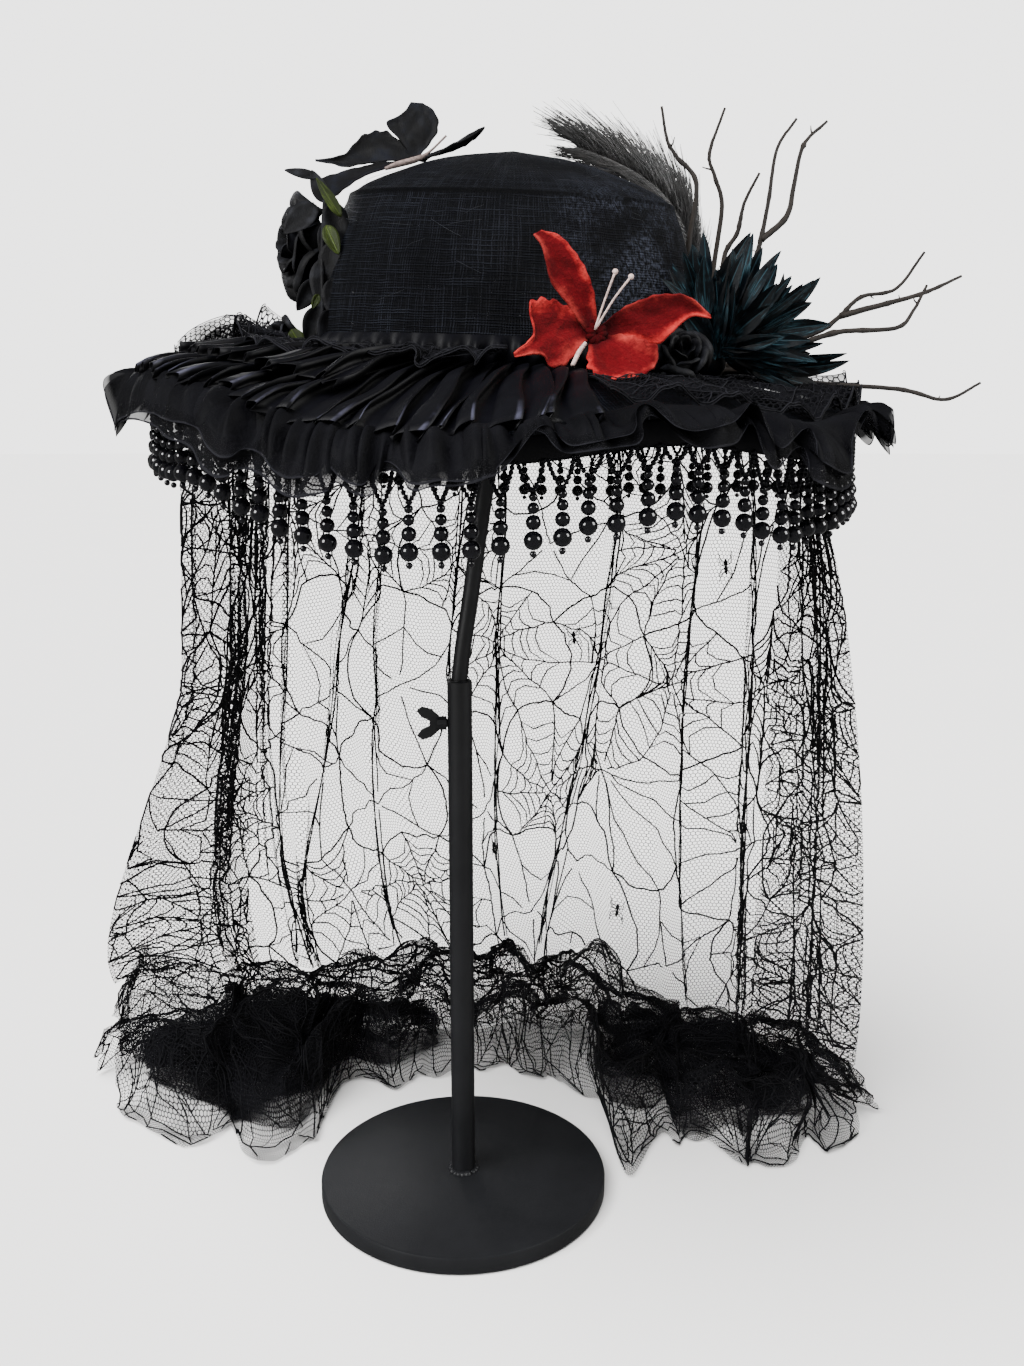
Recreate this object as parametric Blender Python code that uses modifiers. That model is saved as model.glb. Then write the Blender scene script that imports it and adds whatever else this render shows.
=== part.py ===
"""A black straw bonnet with a bead fringe and a lace veil, on a plain adjustable hat stand.

Metres, +Z up. The origin is the centre of the base disc's underside, and the hat faces -Y.
A place on the hat is given by its radius from the hat's axis, its azimuth (0 at the front, growing
towards +X) and its height over the crown's foot.
"""

import math

import bmesh
import bpy
from mathutils import Matrix, Vector

# Small distances
GAP = 0.0005
WELD = 0.00001

# Stand
DISC_RADIUS = 0.080
DISC_THICKNESS = 0.0105
DISC_EDGE = 0.0015
TUBE_RADIUS = 0.0065
TUBE_BORE = 0.0048
TUBE_TOP = 0.293
TUBE_BORE_FOOT = 0.150
TUBE_WELD = 0.0018
WELD_HEIGHT = 0.0015
ROD_RADIUS = 0.0043
SCREW_HEIGHT = 0.270
SCREW_RADIUS = 0.0022
SCREW_HOLE = 0.0026
NECK_RADIUS = 0.0036
NECK_LENGTH = 0.0050
WING_THICKNESS = 0.0024
WING_OUTLINE = (
    # distance from the tube's axis, half height, round the upper wing from its root
    (0.0088, 0.0000),
    (0.0110, 0.0038),
    (0.0150, 0.0074),
    (0.0200, 0.0088),
    (0.0226, 0.0066),
    (0.0200, 0.0034),
    (0.0160, 0.0016),
)
HEAD_RADIUS = 0.036
HEAD_THICKNESS = 0.004

# The bent rod leaves the tube upright, leans to the right and straightens under the crown.
ROD_ROUTE = (
    # x, z
    (0.0000, 0.1550),
    (0.0000, 0.2940),
    (0.0022, 0.3120),
    (0.0058, 0.3350),
    (0.0101, 0.3660),
    (0.0143, 0.3935),
    (0.0195, 0.4250),
    (0.0242, 0.4600),
    (0.0270, 0.5000),
)

# How the hat sits on the stand
HAT_X = 0.0244
HAT_Z = 0.450
HAT_TILT = math.radians(2.0)
HAT_NOD = math.radians(2.5)

# Crown and brim
CROWN_WALL = 0.002
CROWN_SLOPE = 0.0050
SEAM_HEIGHT = 0.079
SEAM_RADIUS = 0.0783
CROWN_PROFILE = (
    # radius, height over the crown's foot
    (0.0955, 0.0000),
    (0.0935, 0.0220),
    (0.0895, 0.0480),
    (0.0835, 0.0680),
    (SEAM_RADIUS, SEAM_HEIGHT),
    (0.0715, 0.0845),
    (0.0560, 0.0912),
    (0.0340, 0.0983),
    (0.0000, 0.1033),
)
CROWN_COLUMNS = 26
BRIM_WALL = 0.002
BRIM_SECTION = (
    # radius, share of the fall, share of the droop at the front and the back
    (0.0962, 0.00, 0.00),
    (0.1350, 0.47, 0.27),
    (0.1740, 1.04, 1.08),
)
BRIM_DROP = 0.0075
BRIM_SLANT = 0.0030
BRIM_FRONT_DROP = 0.0150
BRIM_BACK_DROP = 0.0210
BRIM_COLUMNS = 48

# Trims that lie on the brim
BAND_SECTION = (
    # radius, height
    (0.0961, 0.0018),
    (0.0990, 0.0065),
    (0.0957, 0.0125),
)
BAND_GATHERS = 32
BAND_GATHER_DEPTH = 0.0014
PLEATS = 24
PLEAT_FROM = math.radians(-97)
PLEAT_TO = math.radians(13)
PLEAT_INNER = 0.1002
PLEAT_OUTER = 0.1665
PLEAT_HEIGHT = 0.0042
PLEAT_LEAN = math.radians(4)
GATHER_FROM = math.radians(-77)
GATHER_TO = math.radians(-10)
GATHER_INNER = 0.1015
GATHER_OUTER = 0.1300
GATHER_FLUTES = 7
GATHER_HEIGHT = 0.0100
LACE_FROM = math.radians(96)
LACE_TO = math.radians(261)
LACE_INNER = 0.1080
LACE_OUTER = 0.1600
LACE_FLUTES = 12
LACE_HEIGHT = 0.0200
FABRIC = 0.0010

# Organza ruffle at the brim's edge
RUFFLE_INNER = 0.1690
RUFFLE_KNEE = 0.1790
RUFFLE_OUTER = 0.1910
RUFFLE_DROP = 0.0210
RUFFLE_FLUTES = 30
RUFFLE_DEPTH = 0.0065

# Bead fringe
FRINGE_RADIUS = 0.1710
FRINGE_DROPS = 73
FRINGE_TAPE = 0.0022
FRINGE_TAPE_HEIGHT = 0.0040
FRINGE_STAGES = (
    # fall below the tape, width, thickness
    (0.0335, 0.0060, 0.0060),
    (0.0440, 0.0018, 0.0018),
)

# Veil
VEIL_WALL = 0.0012
VEIL_RADIUS = 0.1600
VEIL_LEFT = math.radians(-85)
VEIL_RIGHT = math.radians(-280)
VEIL_LEFT_SWING = math.radians(-31)
VEIL_RIGHT_SWING = math.radians(25)
VEIL_LEFT_HANG = 0.40
VEIL_RIGHT_HANG = 0.15
VEIL_LEFT_FLARE = 0.105
VEIL_BACK_FLARE = 0.012
VEIL_RIGHT_FLARE = 0.052
VEIL_COLUMNS = 44
VEIL_ROWS = 4
VEIL_FOLDS = 9.0
VEIL_FOLD_TOP = 0.0015
VEIL_FOLD_FOOT = 0.0100
HEAP_HEIGHT = 0.066
HEAP_RIGHT_HEIGHT = 0.042
HEAP_BACK = 0.022
HEAP_INWARD = 0.15
HEAP_SECTION = (
    # share of the way from the outer edge to the crest or from the crest to the front, share of the height
    (-1.00, 0.00),
    (-0.35, 0.75),
    (0.00, 1.00),
    (0.30, 0.62),
    (0.62, 0.70),
    (0.88, 0.00),
    (1.00, 0.00),
)
HEAP_CREST_ROW = 2
HEAP_DEPTH = (
    # share along the veil from its left edge, depth from crest to front edge
    (0.00, 0.040),
    (0.06, 0.095),
    (0.12, 0.115),
    (0.20, 0.105),
    (0.26, 0.060),
    (0.34, 0.045),
    (0.54, 0.045),
    (0.61, 0.120),
    (0.66, 0.140),
    (0.80, 0.115),
    (0.90, 0.085),
    (1.00, 0.030),
)

# Butterflies: the wings are flat plates. A wing's angle is its axis in the front view, from +X towards +Z.
# Its lean brings the tip towards the front, and its roll turns its plate about its own axis.
WING_PLATE = 0.0012
RED_FLY_ROOT = (0.0580, -0.1020, 0.4590)
RED_THORAX = (0.0036, 0.0014, 0.0036)
RED_WINGS = (
    {
        "angle": 121.0,
        "lean": 3.0,
        "roll": 0.0,
        "widths": (
            # along, over, under (mm)
            (-1.0, 1.5, 1.5),
            (8.0, 2.4, 5.4),
            (17.5, 3.2, 8.8),
            (27.5, 4.6, 10.2),
            (35.0, 3.0, 9.6),
            (42.5, 0.8, 7.8),
            (48.5, 1.4, 2.6),
        ),
    },
    {
        "angle": 10.0,
        "lean": 2.0,
        "roll": 0.0,
        "widths": (
            (-1.0, 2.0, 1.8),
            (8.0, 7.0, 2.2),
            (15.0, 10.2, 3.6),
            (25.5, 12.3, 7.1),
            (31.5, 12.2, 3.8),
            (41.0, 9.8, -1.6),
            (49.5, 1.0, 0.6),
        ),
    },
    {
        "angle": 193.0,
        "lean": 27.0,
        "roll": 15.0,
        "widths": (
            (-1.0, 1.5, 1.5),
            (5.5, 1.2, 11.5),
            (12.0, 4.8, 17.0),
            (20.0, 9.2, 19.8),
            (26.0, 8.6, 18.4),
            (28.5, 2.8, 6.5),
            (40.0, 1.0, 0.8),
        ),
    },
    {
        "angle": -40.0,
        "lean": 40.0,
        "roll": -25.0,
        "widths": (
            (-1.0, 1.5, 1.5),
            (6.5, 7.6, 9.4),
            (13.5, 10.2, 14.6),
            (20.5, 11.8, 15.0),
            (27.0, 12.0, 10.6),
            (31.5, 5.0, 4.0),
        ),
    },
)
RED_BODY = (
    # x, y, z, radius
    (0.0475, -0.1160, 0.4470, 0.0018),
    (0.0525, -0.1085, 0.4555, 0.0016),
    (0.0585, -0.1060, 0.4640, 0.0012),
    (0.0615, -0.1070, 0.4740, 0.0008),
    (0.0655, -0.1085, 0.4850, 0.0010),
)
RED_FEELER = (
    (0.0584, -0.1062, 0.4632, 0.0010),
    (0.0650, -0.1080, 0.4740, 0.0008),
    (0.0720, -0.1090, 0.4830, 0.0010),
)
CROWN_FLY_ROOT = (-0.0205, -0.0120, 0.5470)
CROWN_THORAX = (0.0040, 0.0020, 0.0024)
CROWN_WINGS = (
    {
        "angle": 88.0,
        "lean": 0.0,
        "roll": 0.0,
        "widths": (
            (-1.0, 1.2, 1.2),
            (5.0, 3.0, 6.0),
            (11.0, 8.4, 10.6),
            (15.5, 12.6, 12.2),
            (18.0, 8.6, 12.0),
            (22.0, 3.4, 10.2),
            (25.5, 1.0, 4.6),
        ),
    },
    {
        "angle": 180.0,
        "lean": -4.0,
        "roll": 8.0,
        "widths": (
            (-1.0, 1.2, 1.2),
            (9.0, 0.6, 11.5),
            (16.0, 1.4, 13.4),
            (25.0, 2.4, 9.5),
            (31.0, 3.6, 3.0),
            (38.0, 1.6, 0.8),
            (46.0, 0.3, 0.5),
        ),
    },
    {
        "angle": 199.0,
        "lean": 10.0,
        "roll": 30.0,
        "widths": (
            (-1.0, 1.2, 1.2),
            (12.0, 1.2, 3.0),
            (24.0, 2.0, 4.0),
            (34.0, 5.0, 5.0),
            (42.0, 7.0, 5.0),
            (48.0, 2.0, 2.0),
        ),
    },
    {
        "angle": 23.0,
        "lean": -4.0,
        "roll": 94.0,
        "widths": (
            (-1.0, 1.2, 1.2),
            (8.0, 1.6, 8.0),
            (18.0, 2.6, 12.0),
            (28.0, 2.6, 10.0),
            (38.0, 1.0, 1.0),
        ),
    },
)
CROWN_BODY = (
    (-0.0330, -0.0175, 0.5420, 0.0010),
    (-0.0270, -0.0165, 0.5442, 0.0018),
    (-0.0180, -0.0162, 0.5467, 0.0018),
    (-0.0120, -0.0162, 0.5500, 0.0008),
    (-0.0040, -0.0172, 0.5570, 0.0007),
)

# Roses: rows run from the back of the cup over the rim to the heart.
ROSE_ROWS = (
    # share of the radius, share of the depth, share of the petal wave
    (0.00, -0.50, 0.0),
    (0.55, -0.42, 0.0),
    (0.96, -0.05, 0.5),
    (1.00, 0.22, 1.0),
    (0.76, 0.05, 0.5),
    (0.64, 0.40, 1.0),
    (0.42, 0.14, 0.4),
    (0.26, 0.50, 0.6),
    (0.00, 0.34, 0.0),
)
ROSES = (
    # name, centre, axis, radius, depth, columns
    ("left_rose", (-0.0750, -0.0060, 0.5085), (-0.92, -0.38, 0.05), 0.0225, 0.0230, 14),
    ("left_rose_bud", (-0.0850, -0.0120, 0.4658), (-0.75, -0.60, 0.30), 0.0090, 0.0150, 8),
    ("right_rose", (0.0985, -0.0830, 0.4532), (0.10, -0.85, 0.50), 0.0125, 0.0190, 12),
)
STEM_RADIUS = 0.0013
LEFT_STEM = (
    (-0.0628, -0.0395, 0.4700),
    (-0.0640, -0.0395, 0.5000),
    (-0.0600, -0.0395, 0.5240),
)
LEFT_LEAVES = (
    # root, angle, length, width
    ((-0.0600, -0.0395, 0.5235), 129.0, 0.0150, 0.0050),
    ((-0.0615, -0.0395, 0.5120), 15.0, 0.0100, 0.0070),
    ((-0.0640, -0.0395, 0.4950), -68.0, 0.0120, 0.0060),
    ((-0.0630, -0.0395, 0.4760), -110.0, 0.0130, 0.0080),
)

# Leaf spray, twigs and plume at the right
SPRAY_CORE = (0.1195, -0.0530, 0.4529)
SPRAY_CORE_RADIUS = 0.0090
SPRAY_LENGTH = 0.0560
SPRAY_STAGES = (
    # share of the length, half width, half thickness
    (0.5, 0.0038, 0.0009),
    (1.0, 0.0005, 0.0003),
)
SPRAY_ANGLES = (-32.0, 112.0)
SPRAY_DEPTH = 0.50
SPRAY_CLEARANCE = 0.0030
TWIG_RADIUS = 0.0011
TWIG_TIP = 0.45
TWIG_KNOT = (0.1295, -0.0140, 0.4500)
TWIG_KNOT_RADIUS = 0.0042
TWIGS = (
    # whether it starts at the knot, then x, y, z of each bend (mm)
    (
        True,
        (123, -6, 480),
        (115, 0, 505),
        (118, 0, 539),
        (108, 0, 552),
        (103, 0, 560),
        (100, 0, 575),
    ),
    (
        True,
        (127, -4, 478),
        (129, 6, 501),
        (133, 10, 531),
        (129, 10, 545),
        (126, 10, 556),
        (133, 10, 577),
    ),
    (
        True,
        (130, -7, 480),
        (133, 0, 506),
        (139, 0, 517),
        (142, 0, 531),
        (149, 0, 545),
    ),
    (
        True,
        (138, -10, 478),
        (147, -5, 503),
        (150, -5, 515),
        (153, -5, 533),
        (156, -5, 555),
        (165, -5, 569),
    ),
    (
        False,
        (150, -5, 513),
        (162, -5, 524),
        (165, -5, 538),
        (169, -5, 557),
        (180, -5, 568),
    ),
    (
        True,
        (142, -17, 457),
        (175, -18, 468),
        (186, -18, 475),
        (197, -18, 485),
        (214, -18, 489),
        (227, -18, 506),
    ),
    (
        False,
        (187, -18, 476),
        (206, -18, 481),
        (228, -18, 487),
        (246, -18, 495),
    ),
    (
        True,
        (163, -24, 461),
        (185, -24, 468),
        (213, -24, 470),
        (221, -24, 478),
        (227, -24, 490),
    ),
    (
        True,
        (143, -26, 449),
        (165, -28, 444),
        (214, -28, 441),
        (238, -28, 436),
        (255, -28, 444),
    ),
)
PLUME_PLATE = 0.0015
PLUME_Y = 0.0420
PLUME_VANE = (
    # x, z of the quill, reach of the barbs over and under it (mm)
    (119.0, 448.2, 1.2, 1.2),
    (124.0, 480.0, 1.2, 1.2),
    (126.0, 503.0, 4.0, 2.0),
    (123.0, 518.0, 9.0, 4.0),
    (118.0, 530.0, 13.0, 6.0),
    (110.0, 541.0, 16.0, 7.0),
    (99.0, 550.0, 18.0, 7.0),
    (86.0, 557.0, 18.0, 6.0),
    (73.0, 562.0, 14.0, 4.0),
    (60.0, 566.0, 7.0, 2.0),
)
PLUME_NOTCH = 0.35
PLUME_SWEEP = 0.55


# Scene and materials


def clear_scene():
    for old in list(bpy.data.objects):
        bpy.data.objects.remove(old, do_unlink=True)


def collection(name):
    made = bpy.data.collections.new(name)
    bpy.context.scene.collection.children.link(made)
    return made


def material(name, colour, roughness, metallic=0.0):
    made = bpy.data.materials.new(name)
    made.use_nodes = True
    shader = made.node_tree.nodes["Principled BSDF"]
    shader.inputs["Base Color"].default_value = (*colour, 1.0)
    shader.inputs["Roughness"].default_value = roughness
    shader.inputs["Metallic"].default_value = metallic
    made.diffuse_color = (*colour, 1.0)
    return made


def add_part(name, mesh, finish, smooth_angle=40.0):
    mesh.name = name
    mesh.materials.clear()
    mesh.materials.append(finish)
    part = bpy.data.objects.new(name, mesh)
    PARTS.objects.link(part)
    mesh.shade_smooth()
    mesh.set_sharp_from_angle(angle=math.radians(smooth_angle))
    return part


def add_cutter(name, mesh):
    cutter = bpy.data.objects.new(name, mesh)
    CUTTERS.objects.link(cutter)
    cutter.hide_render = True
    cutter.display_type = "WIRE"
    return cutter


def boolean(part, cutter, operation):
    cut = part.modifiers.new(f"{operation.lower()} {cutter.name}", "BOOLEAN")
    cut.operation = operation
    cut.solver = "EXACT"
    cut.object = cutter


def to_mesh(name, bm):
    mesh = bpy.data.meshes.new(name)
    bm.to_mesh(mesh)
    bm.free()
    return mesh


# Makers of shapes


def turned_mesh(name, profile, steps):
    """Spin a closed profile of (radius, height) that starts and ends on the axis."""
    bm = bmesh.new()
    verts = [bm.verts.new((radius, 0.0, height)) for radius, height in profile]
    edges = [bm.edges.new(pair) for pair in zip(verts, verts[1:])]
    bmesh.ops.spin(
        bm,
        geom=verts + edges,
        cent=(0, 0, 0),
        axis=(0, 0, 1),
        angle=math.tau,
        steps=steps,
        use_merge=True,
        use_duplicate=False,
    )
    bmesh.ops.remove_doubles(bm, verts=bm.verts, dist=WELD)
    bmesh.ops.recalc_face_normals(bm, faces=bm.faces)
    return to_mesh(name, bm)


def mapped_grid(columns, rows, place, closed_across=False, closed_along=False):
    """A grid whose (u, v) places, from 0 to 1, are sent to their points by place."""
    bm = bmesh.new()
    bmesh.ops.create_grid(bm, x_segments=columns, y_segments=rows, size=0.5)
    for vert in bm.verts:
        vert.co = place(vert.co.x + 0.5, vert.co.y + 0.5)
    if closed_across or closed_along:
        bmesh.ops.remove_doubles(bm, verts=bm.verts, dist=WELD)
    return bm


def sheet(name, columns, rows, place, thickness, finish, closed=False, offset=0.0):
    """Cloth or straw: a mapped grid with a wall."""
    part = add_part(name, to_mesh(name, mapped_grid(columns, rows, place, closed)), finish)
    wall = part.modifiers.new("wall", "SOLIDIFY")
    wall.thickness = thickness
    wall.offset = offset
    wall.use_even_offset = False
    return part


def curve_mesh(curve):
    """The mesh of a curve, with its caps or faces welded."""
    holder = bpy.data.objects.new("guide", curve)
    CUTTERS.objects.link(holder)
    bpy.context.view_layer.update()
    found = holder.evaluated_get(bpy.context.evaluated_depsgraph_get())
    mesh = bpy.data.meshes.new_from_object(found)
    bpy.data.objects.remove(holder, do_unlink=True)
    bm = bmesh.new()
    bm.from_mesh(mesh)
    bmesh.ops.remove_doubles(bm, verts=bm.verts, dist=WELD)
    bmesh.ops.recalc_face_normals(bm, faces=bm.faces)
    bm.to_mesh(mesh)
    bm.free()
    return mesh


def rod_mesh(rows, resolution=0):
    """A round bar along rows of x, y, z and radius."""
    curve = bpy.data.curves.new("rod", "CURVE")
    curve.dimensions = "3D"
    curve.bevel_depth = 1.0
    curve.bevel_resolution = resolution
    curve.use_fill_caps = True
    spline = curve.splines.new("POLY")
    spline.points.add(len(rows) - 1)
    for (x, y, z, radius), point in zip(rows, spline.points):
        point.co = (x, y, z, 1.0)
        point.radius = radius
    return curve_mesh(curve)


def tube_mesh(points, radius, resolution, tip_share=1.0):
    """A round bar along the points, which tapers to a share of its radius."""
    step = (tip_share - 1.0) / (len(points) - 1)
    rows = [(*spot, radius * (1.0 + step * index)) for index, spot in enumerate(points)]
    return rod_mesh(rows, resolution)


def plate_mesh(outline, thickness, matrix):
    """A flat outline in XY with a thickness, moved by a matrix."""
    curve = bpy.data.curves.new("outline", "CURVE")
    curve.dimensions = "2D"
    curve.fill_mode = "BOTH"
    curve.extrude = thickness / 2
    spline = curve.splines.new("POLY")
    spline.points.add(len(outline) - 1)
    for (x, y), point in zip(outline, spline.points):
        point.co = (x, y, 0.0, 1.0)
    spline.use_cyclic_u = True
    mesh = curve_mesh(curve)
    mesh.transform(matrix)
    return mesh


def upright(y, height):
    """A place for a plate that stands in the front view, at a depth and a height."""
    return Matrix.Translation((0.0, y, height)) @ Matrix.Rotation(math.radians(90), 4, "X")


def ball_mesh(name, centre, radii, segments=10, rings=6):
    bm = bmesh.new()
    bmesh.ops.create_uvsphere(bm, u_segments=segments, v_segments=rings, radius=1.0)
    bmesh.ops.transform(
        bm,
        matrix=Matrix.Translation(centre) @ Matrix.Diagonal((*radii, 1.0)),
        verts=bm.verts,
    )
    return to_mesh(name, bm)


def smooth_route(points, per_span):
    """Points on a smooth curve through the given ones."""
    ends = [2 * points[0] - points[1], *points, 2 * points[-1] - points[-2]]
    route = []
    for a, b, c, d in zip(ends, ends[1:], ends[2:], ends[3:]):
        for step in range(per_span):
            t = step / per_span
            route.append(
                0.5
                * (
                    2 * b
                    + (c - a) * t
                    + (2 * a - 5 * b + 4 * c - d) * t**2
                    + (3 * b - a - 3 * c + d) * t**3
                )
            )
    route.append(points[-1])
    return route


def table_value(table, x):
    """Read a two-column table between its rows."""
    for (x0, y0), (x1, y1) in zip(table, table[1:]):
        if x <= x1:
            return y0 + (y1 - y0) * (x - x0) / (x1 - x0)
    return table[-1][1]


# Places on the hat

HAT_PLACE = (
    Matrix.Translation((HAT_X, 0.0, HAT_Z))
    @ Matrix.Rotation(HAT_TILT, 4, "Y")
    @ Matrix.Rotation(HAT_NOD, 4, "X")
)


def hat_point(radius, azimuth, height):
    """A place on the hat, tipped with it and set on the stand."""
    spot = Vector((radius * math.sin(azimuth), -radius * math.cos(azimuth), height))
    return HAT_PLACE @ spot


def brim_height(radius, azimuth):
    """Middle of the brim's wall: it falls outwards, more at the front, the back and the right."""
    fall = table_value([row[:2] for row in BRIM_SECTION], radius)
    bend = table_value([row[::2] for row in BRIM_SECTION], radius)
    front = math.cos(azimuth)
    droop = BRIM_FRONT_DROP if front > 0 else BRIM_BACK_DROP
    return -fall * (BRIM_DROP + BRIM_SLANT * math.sin(azimuth)) - bend * droop * front**2


def on_brim(radius, azimuth, lift):
    """A place over the brim's upper side."""
    return hat_point(radius, azimuth, brim_height(radius, azimuth) + BRIM_WALL / 2 + lift)


def crown_point(radius, azimuth, height):
    """A place on the crown, whose top slopes down to the front."""
    back = -radius * math.cos(azimuth) / SEAM_RADIUS
    return hat_point(radius, azimuth, height + CROWN_SLOPE * back * height / SEAM_HEIGHT)


def dome_height(radius):
    """Height of the crown's outside at a radius within the seam."""
    top = [row for row in reversed(CROWN_PROFILE) if row[0] <= SEAM_RADIUS]
    return table_value(top, radius)


# Stand


def make_stand_base(finish):
    disc = (
        (0.0, DISC_THICKNESS),
        (DISC_RADIUS - DISC_EDGE, DISC_THICKNESS),
        (DISC_RADIUS, DISC_THICKNESS - DISC_EDGE),
        (DISC_RADIUS, DISC_EDGE),
        (DISC_RADIUS - DISC_EDGE, 0.0),
        (0.0, 0.0),
    )
    base = add_part("stand_base", turned_mesh("disc", disc, 40), finish)
    tube = (
        (0.0, TUBE_BORE_FOOT),
        (TUBE_BORE, TUBE_BORE_FOOT),
        (TUBE_BORE, TUBE_TOP),
        (TUBE_RADIUS, TUBE_TOP),
        (TUBE_RADIUS, DISC_THICKNESS + WELD_HEIGHT),
        (TUBE_RADIUS + TUBE_WELD, DISC_THICKNESS - GAP),
        (TUBE_RADIUS + TUBE_WELD, DISC_THICKNESS / 2),
        (0.0, DISC_THICKNESS / 2),
    )
    boolean(base, add_cutter("tube", turned_mesh("tube", tube, 14)), "UNION")
    hole = bar_mesh("screw hole", -TUBE_BORE / 2, -2 * TUBE_RADIUS, SCREW_HOLE, 10)
    boolean(base, add_cutter("screw hole", hole), "DIFFERENCE")


def bar_mesh(name, start, end, radius, segments):
    """A round bar along X at the screw's height."""
    middle = Matrix.Translation(((start + end) / 2, 0.0, SCREW_HEIGHT))
    bm = bmesh.new()
    bmesh.ops.create_cone(
        bm,
        cap_ends=True,
        segments=segments,
        radius1=radius,
        radius2=radius,
        depth=abs(end - start),
        matrix=middle @ Matrix.Rotation(math.radians(90), 4, "Y"),
    )
    return to_mesh(name, bm)


def make_wing_screw(finish):
    tip = -(ROD_RADIUS + GAP)
    neck = -(TUBE_RADIUS + GAP)
    shank = bar_mesh("shank", tip, neck - NECK_LENGTH / 2, SCREW_RADIUS, 8)
    screw = add_part("stand_wing_screw", shank, finish)
    collar = bar_mesh("neck", neck, neck - NECK_LENGTH, NECK_RADIUS, 10)
    boolean(screw, add_cutter("neck", collar), "UNION")
    upper = [(-x, y) for x, y in WING_OUTLINE]
    lower = [(x, -y) for x, y in reversed(upper[1:])]
    wings = plate_mesh(upper + lower, WING_THICKNESS, upright(0.0, SCREW_HEIGHT))
    boolean(screw, add_cutter("wings", wings), "UNION")


def make_rod(finish):
    head_top = CROWN_PROFILE[-1][1] - CROWN_WALL - GAP
    route = [Vector((x, 0.0, z)) for x, z in ROD_ROUTE]
    route.append(hat_point(0.0, 0.0, head_top - HEAD_THICKNESS / 2))
    upper = smooth_route(route[1:], 1)
    rod = add_part("stand_rod", tube_mesh([route[0], *upper], ROD_RADIUS, 2), finish)

    def place(u, v):
        radius = HEAD_RADIUS * (1.0 - v)
        return crown_point(radius, math.tau * u, dome_height(radius) - CROWN_WALL - GAP)

    head = add_cutter("head", to_mesh("head", mapped_grid(18, 2, place, True)))
    wall = head.modifiers.new("wall", "SOLIDIFY")
    wall.thickness = HEAD_THICKNESS
    wall.offset = -1.0
    boolean(rod, head, "UNION")


# Straw


def make_crown(finish):
    spans = len(CROWN_PROFILE) - 1

    def place(u, v):
        radius, height = CROWN_PROFILE[round(v * spans)]
        return crown_point(radius, math.tau * u, height)

    sheet("crown", CROWN_COLUMNS, spans, place, CROWN_WALL, finish, closed=True, offset=-1.0)


def make_brim(finish):
    spans = len(BRIM_SECTION) - 1

    def place(u, v):
        radius = BRIM_SECTION[spans - round(v * spans)][0]
        return hat_point(radius, math.tau * u, brim_height(radius, math.tau * u))

    sheet("brim", BRIM_COLUMNS, spans, place, BRIM_WALL, finish, closed=True)


# Trims on the brim


def make_band(finish):
    columns = 2 * BAND_GATHERS
    corners = len(BAND_SECTION)

    def place(u, v):
        corner = round(v * corners) % corners
        radius, height = BAND_SECTION[corner]
        if corner == 1 and round(u * columns) % 2:
            radius -= BAND_GATHER_DEPTH
        return hat_point(radius, math.tau * u, height)

    bm = mapped_grid(columns, corners, place, True, True)
    bmesh.ops.recalc_face_normals(bm, faces=bm.faces)
    add_part("crown_band", to_mesh("crown_band", bm), finish)


def make_pleats(finish):
    columns = 2 * PLEATS
    pitch = (PLEAT_TO - PLEAT_FROM) / PLEATS

    def place(u, v):
        column = round(u * columns)
        raised = column % 2
        azimuth = PLEAT_FROM + pitch * (column // 2 + 0.8 * raised)
        radius = PLEAT_OUTER + (PLEAT_INNER - PLEAT_OUTER) * v
        azimuth -= PLEAT_LEAN * (1.0 - v)
        lift = GAP + FABRIC + raised * PLEAT_HEIGHT * (1.0 - 0.5 * v)
        return on_brim(radius, azimuth, lift)

    sheet("pleated_frill", columns, 2, place, FABRIC, finish)


def flutes(azimuth, count):
    """Uneven round folds, from -1 to 1."""
    return math.sin(count * azimuth + 0.9 * math.sin(3 * azimuth) + 0.7 * math.sin(5 * azimuth + 1.0))


def make_net_gather(finish):
    def place(u, v):
        azimuth = GATHER_FROM + (GATHER_TO - GATHER_FROM) * u
        radius = GATHER_OUTER + (GATHER_INNER - GATHER_OUTER) * v
        wave = 0.5 + 0.5 * math.cos(math.tau * GATHER_FLUTES * u)
        lift = 2 * GAP + FABRIC + PLEAT_HEIGHT + GATHER_HEIGHT * wave * (1.0 - v)
        return on_brim(radius, azimuth, lift)

    sheet("lace_gather", 4 * GATHER_FLUTES, 1, place, FABRIC, finish)


def make_lace_frill(finish):
    def place(u, v):
        azimuth = LACE_FROM + (LACE_TO - LACE_FROM) * u
        radius = LACE_OUTER + (LACE_INNER - LACE_OUTER) * v
        wave = 0.5 + 0.5 * math.cos(math.tau * LACE_FLUTES * u + 0.8 * math.sin(9 * u))
        middle = 4 * v * (1.0 - v)
        lift = GAP + FABRIC + LACE_HEIGHT * wave * (0.45 * (1.0 - v) + 0.75 * middle)
        return on_brim(radius, azimuth, lift)

    sheet("lace_frill", 4 * LACE_FLUTES, 2, place, FABRIC, finish)


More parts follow.
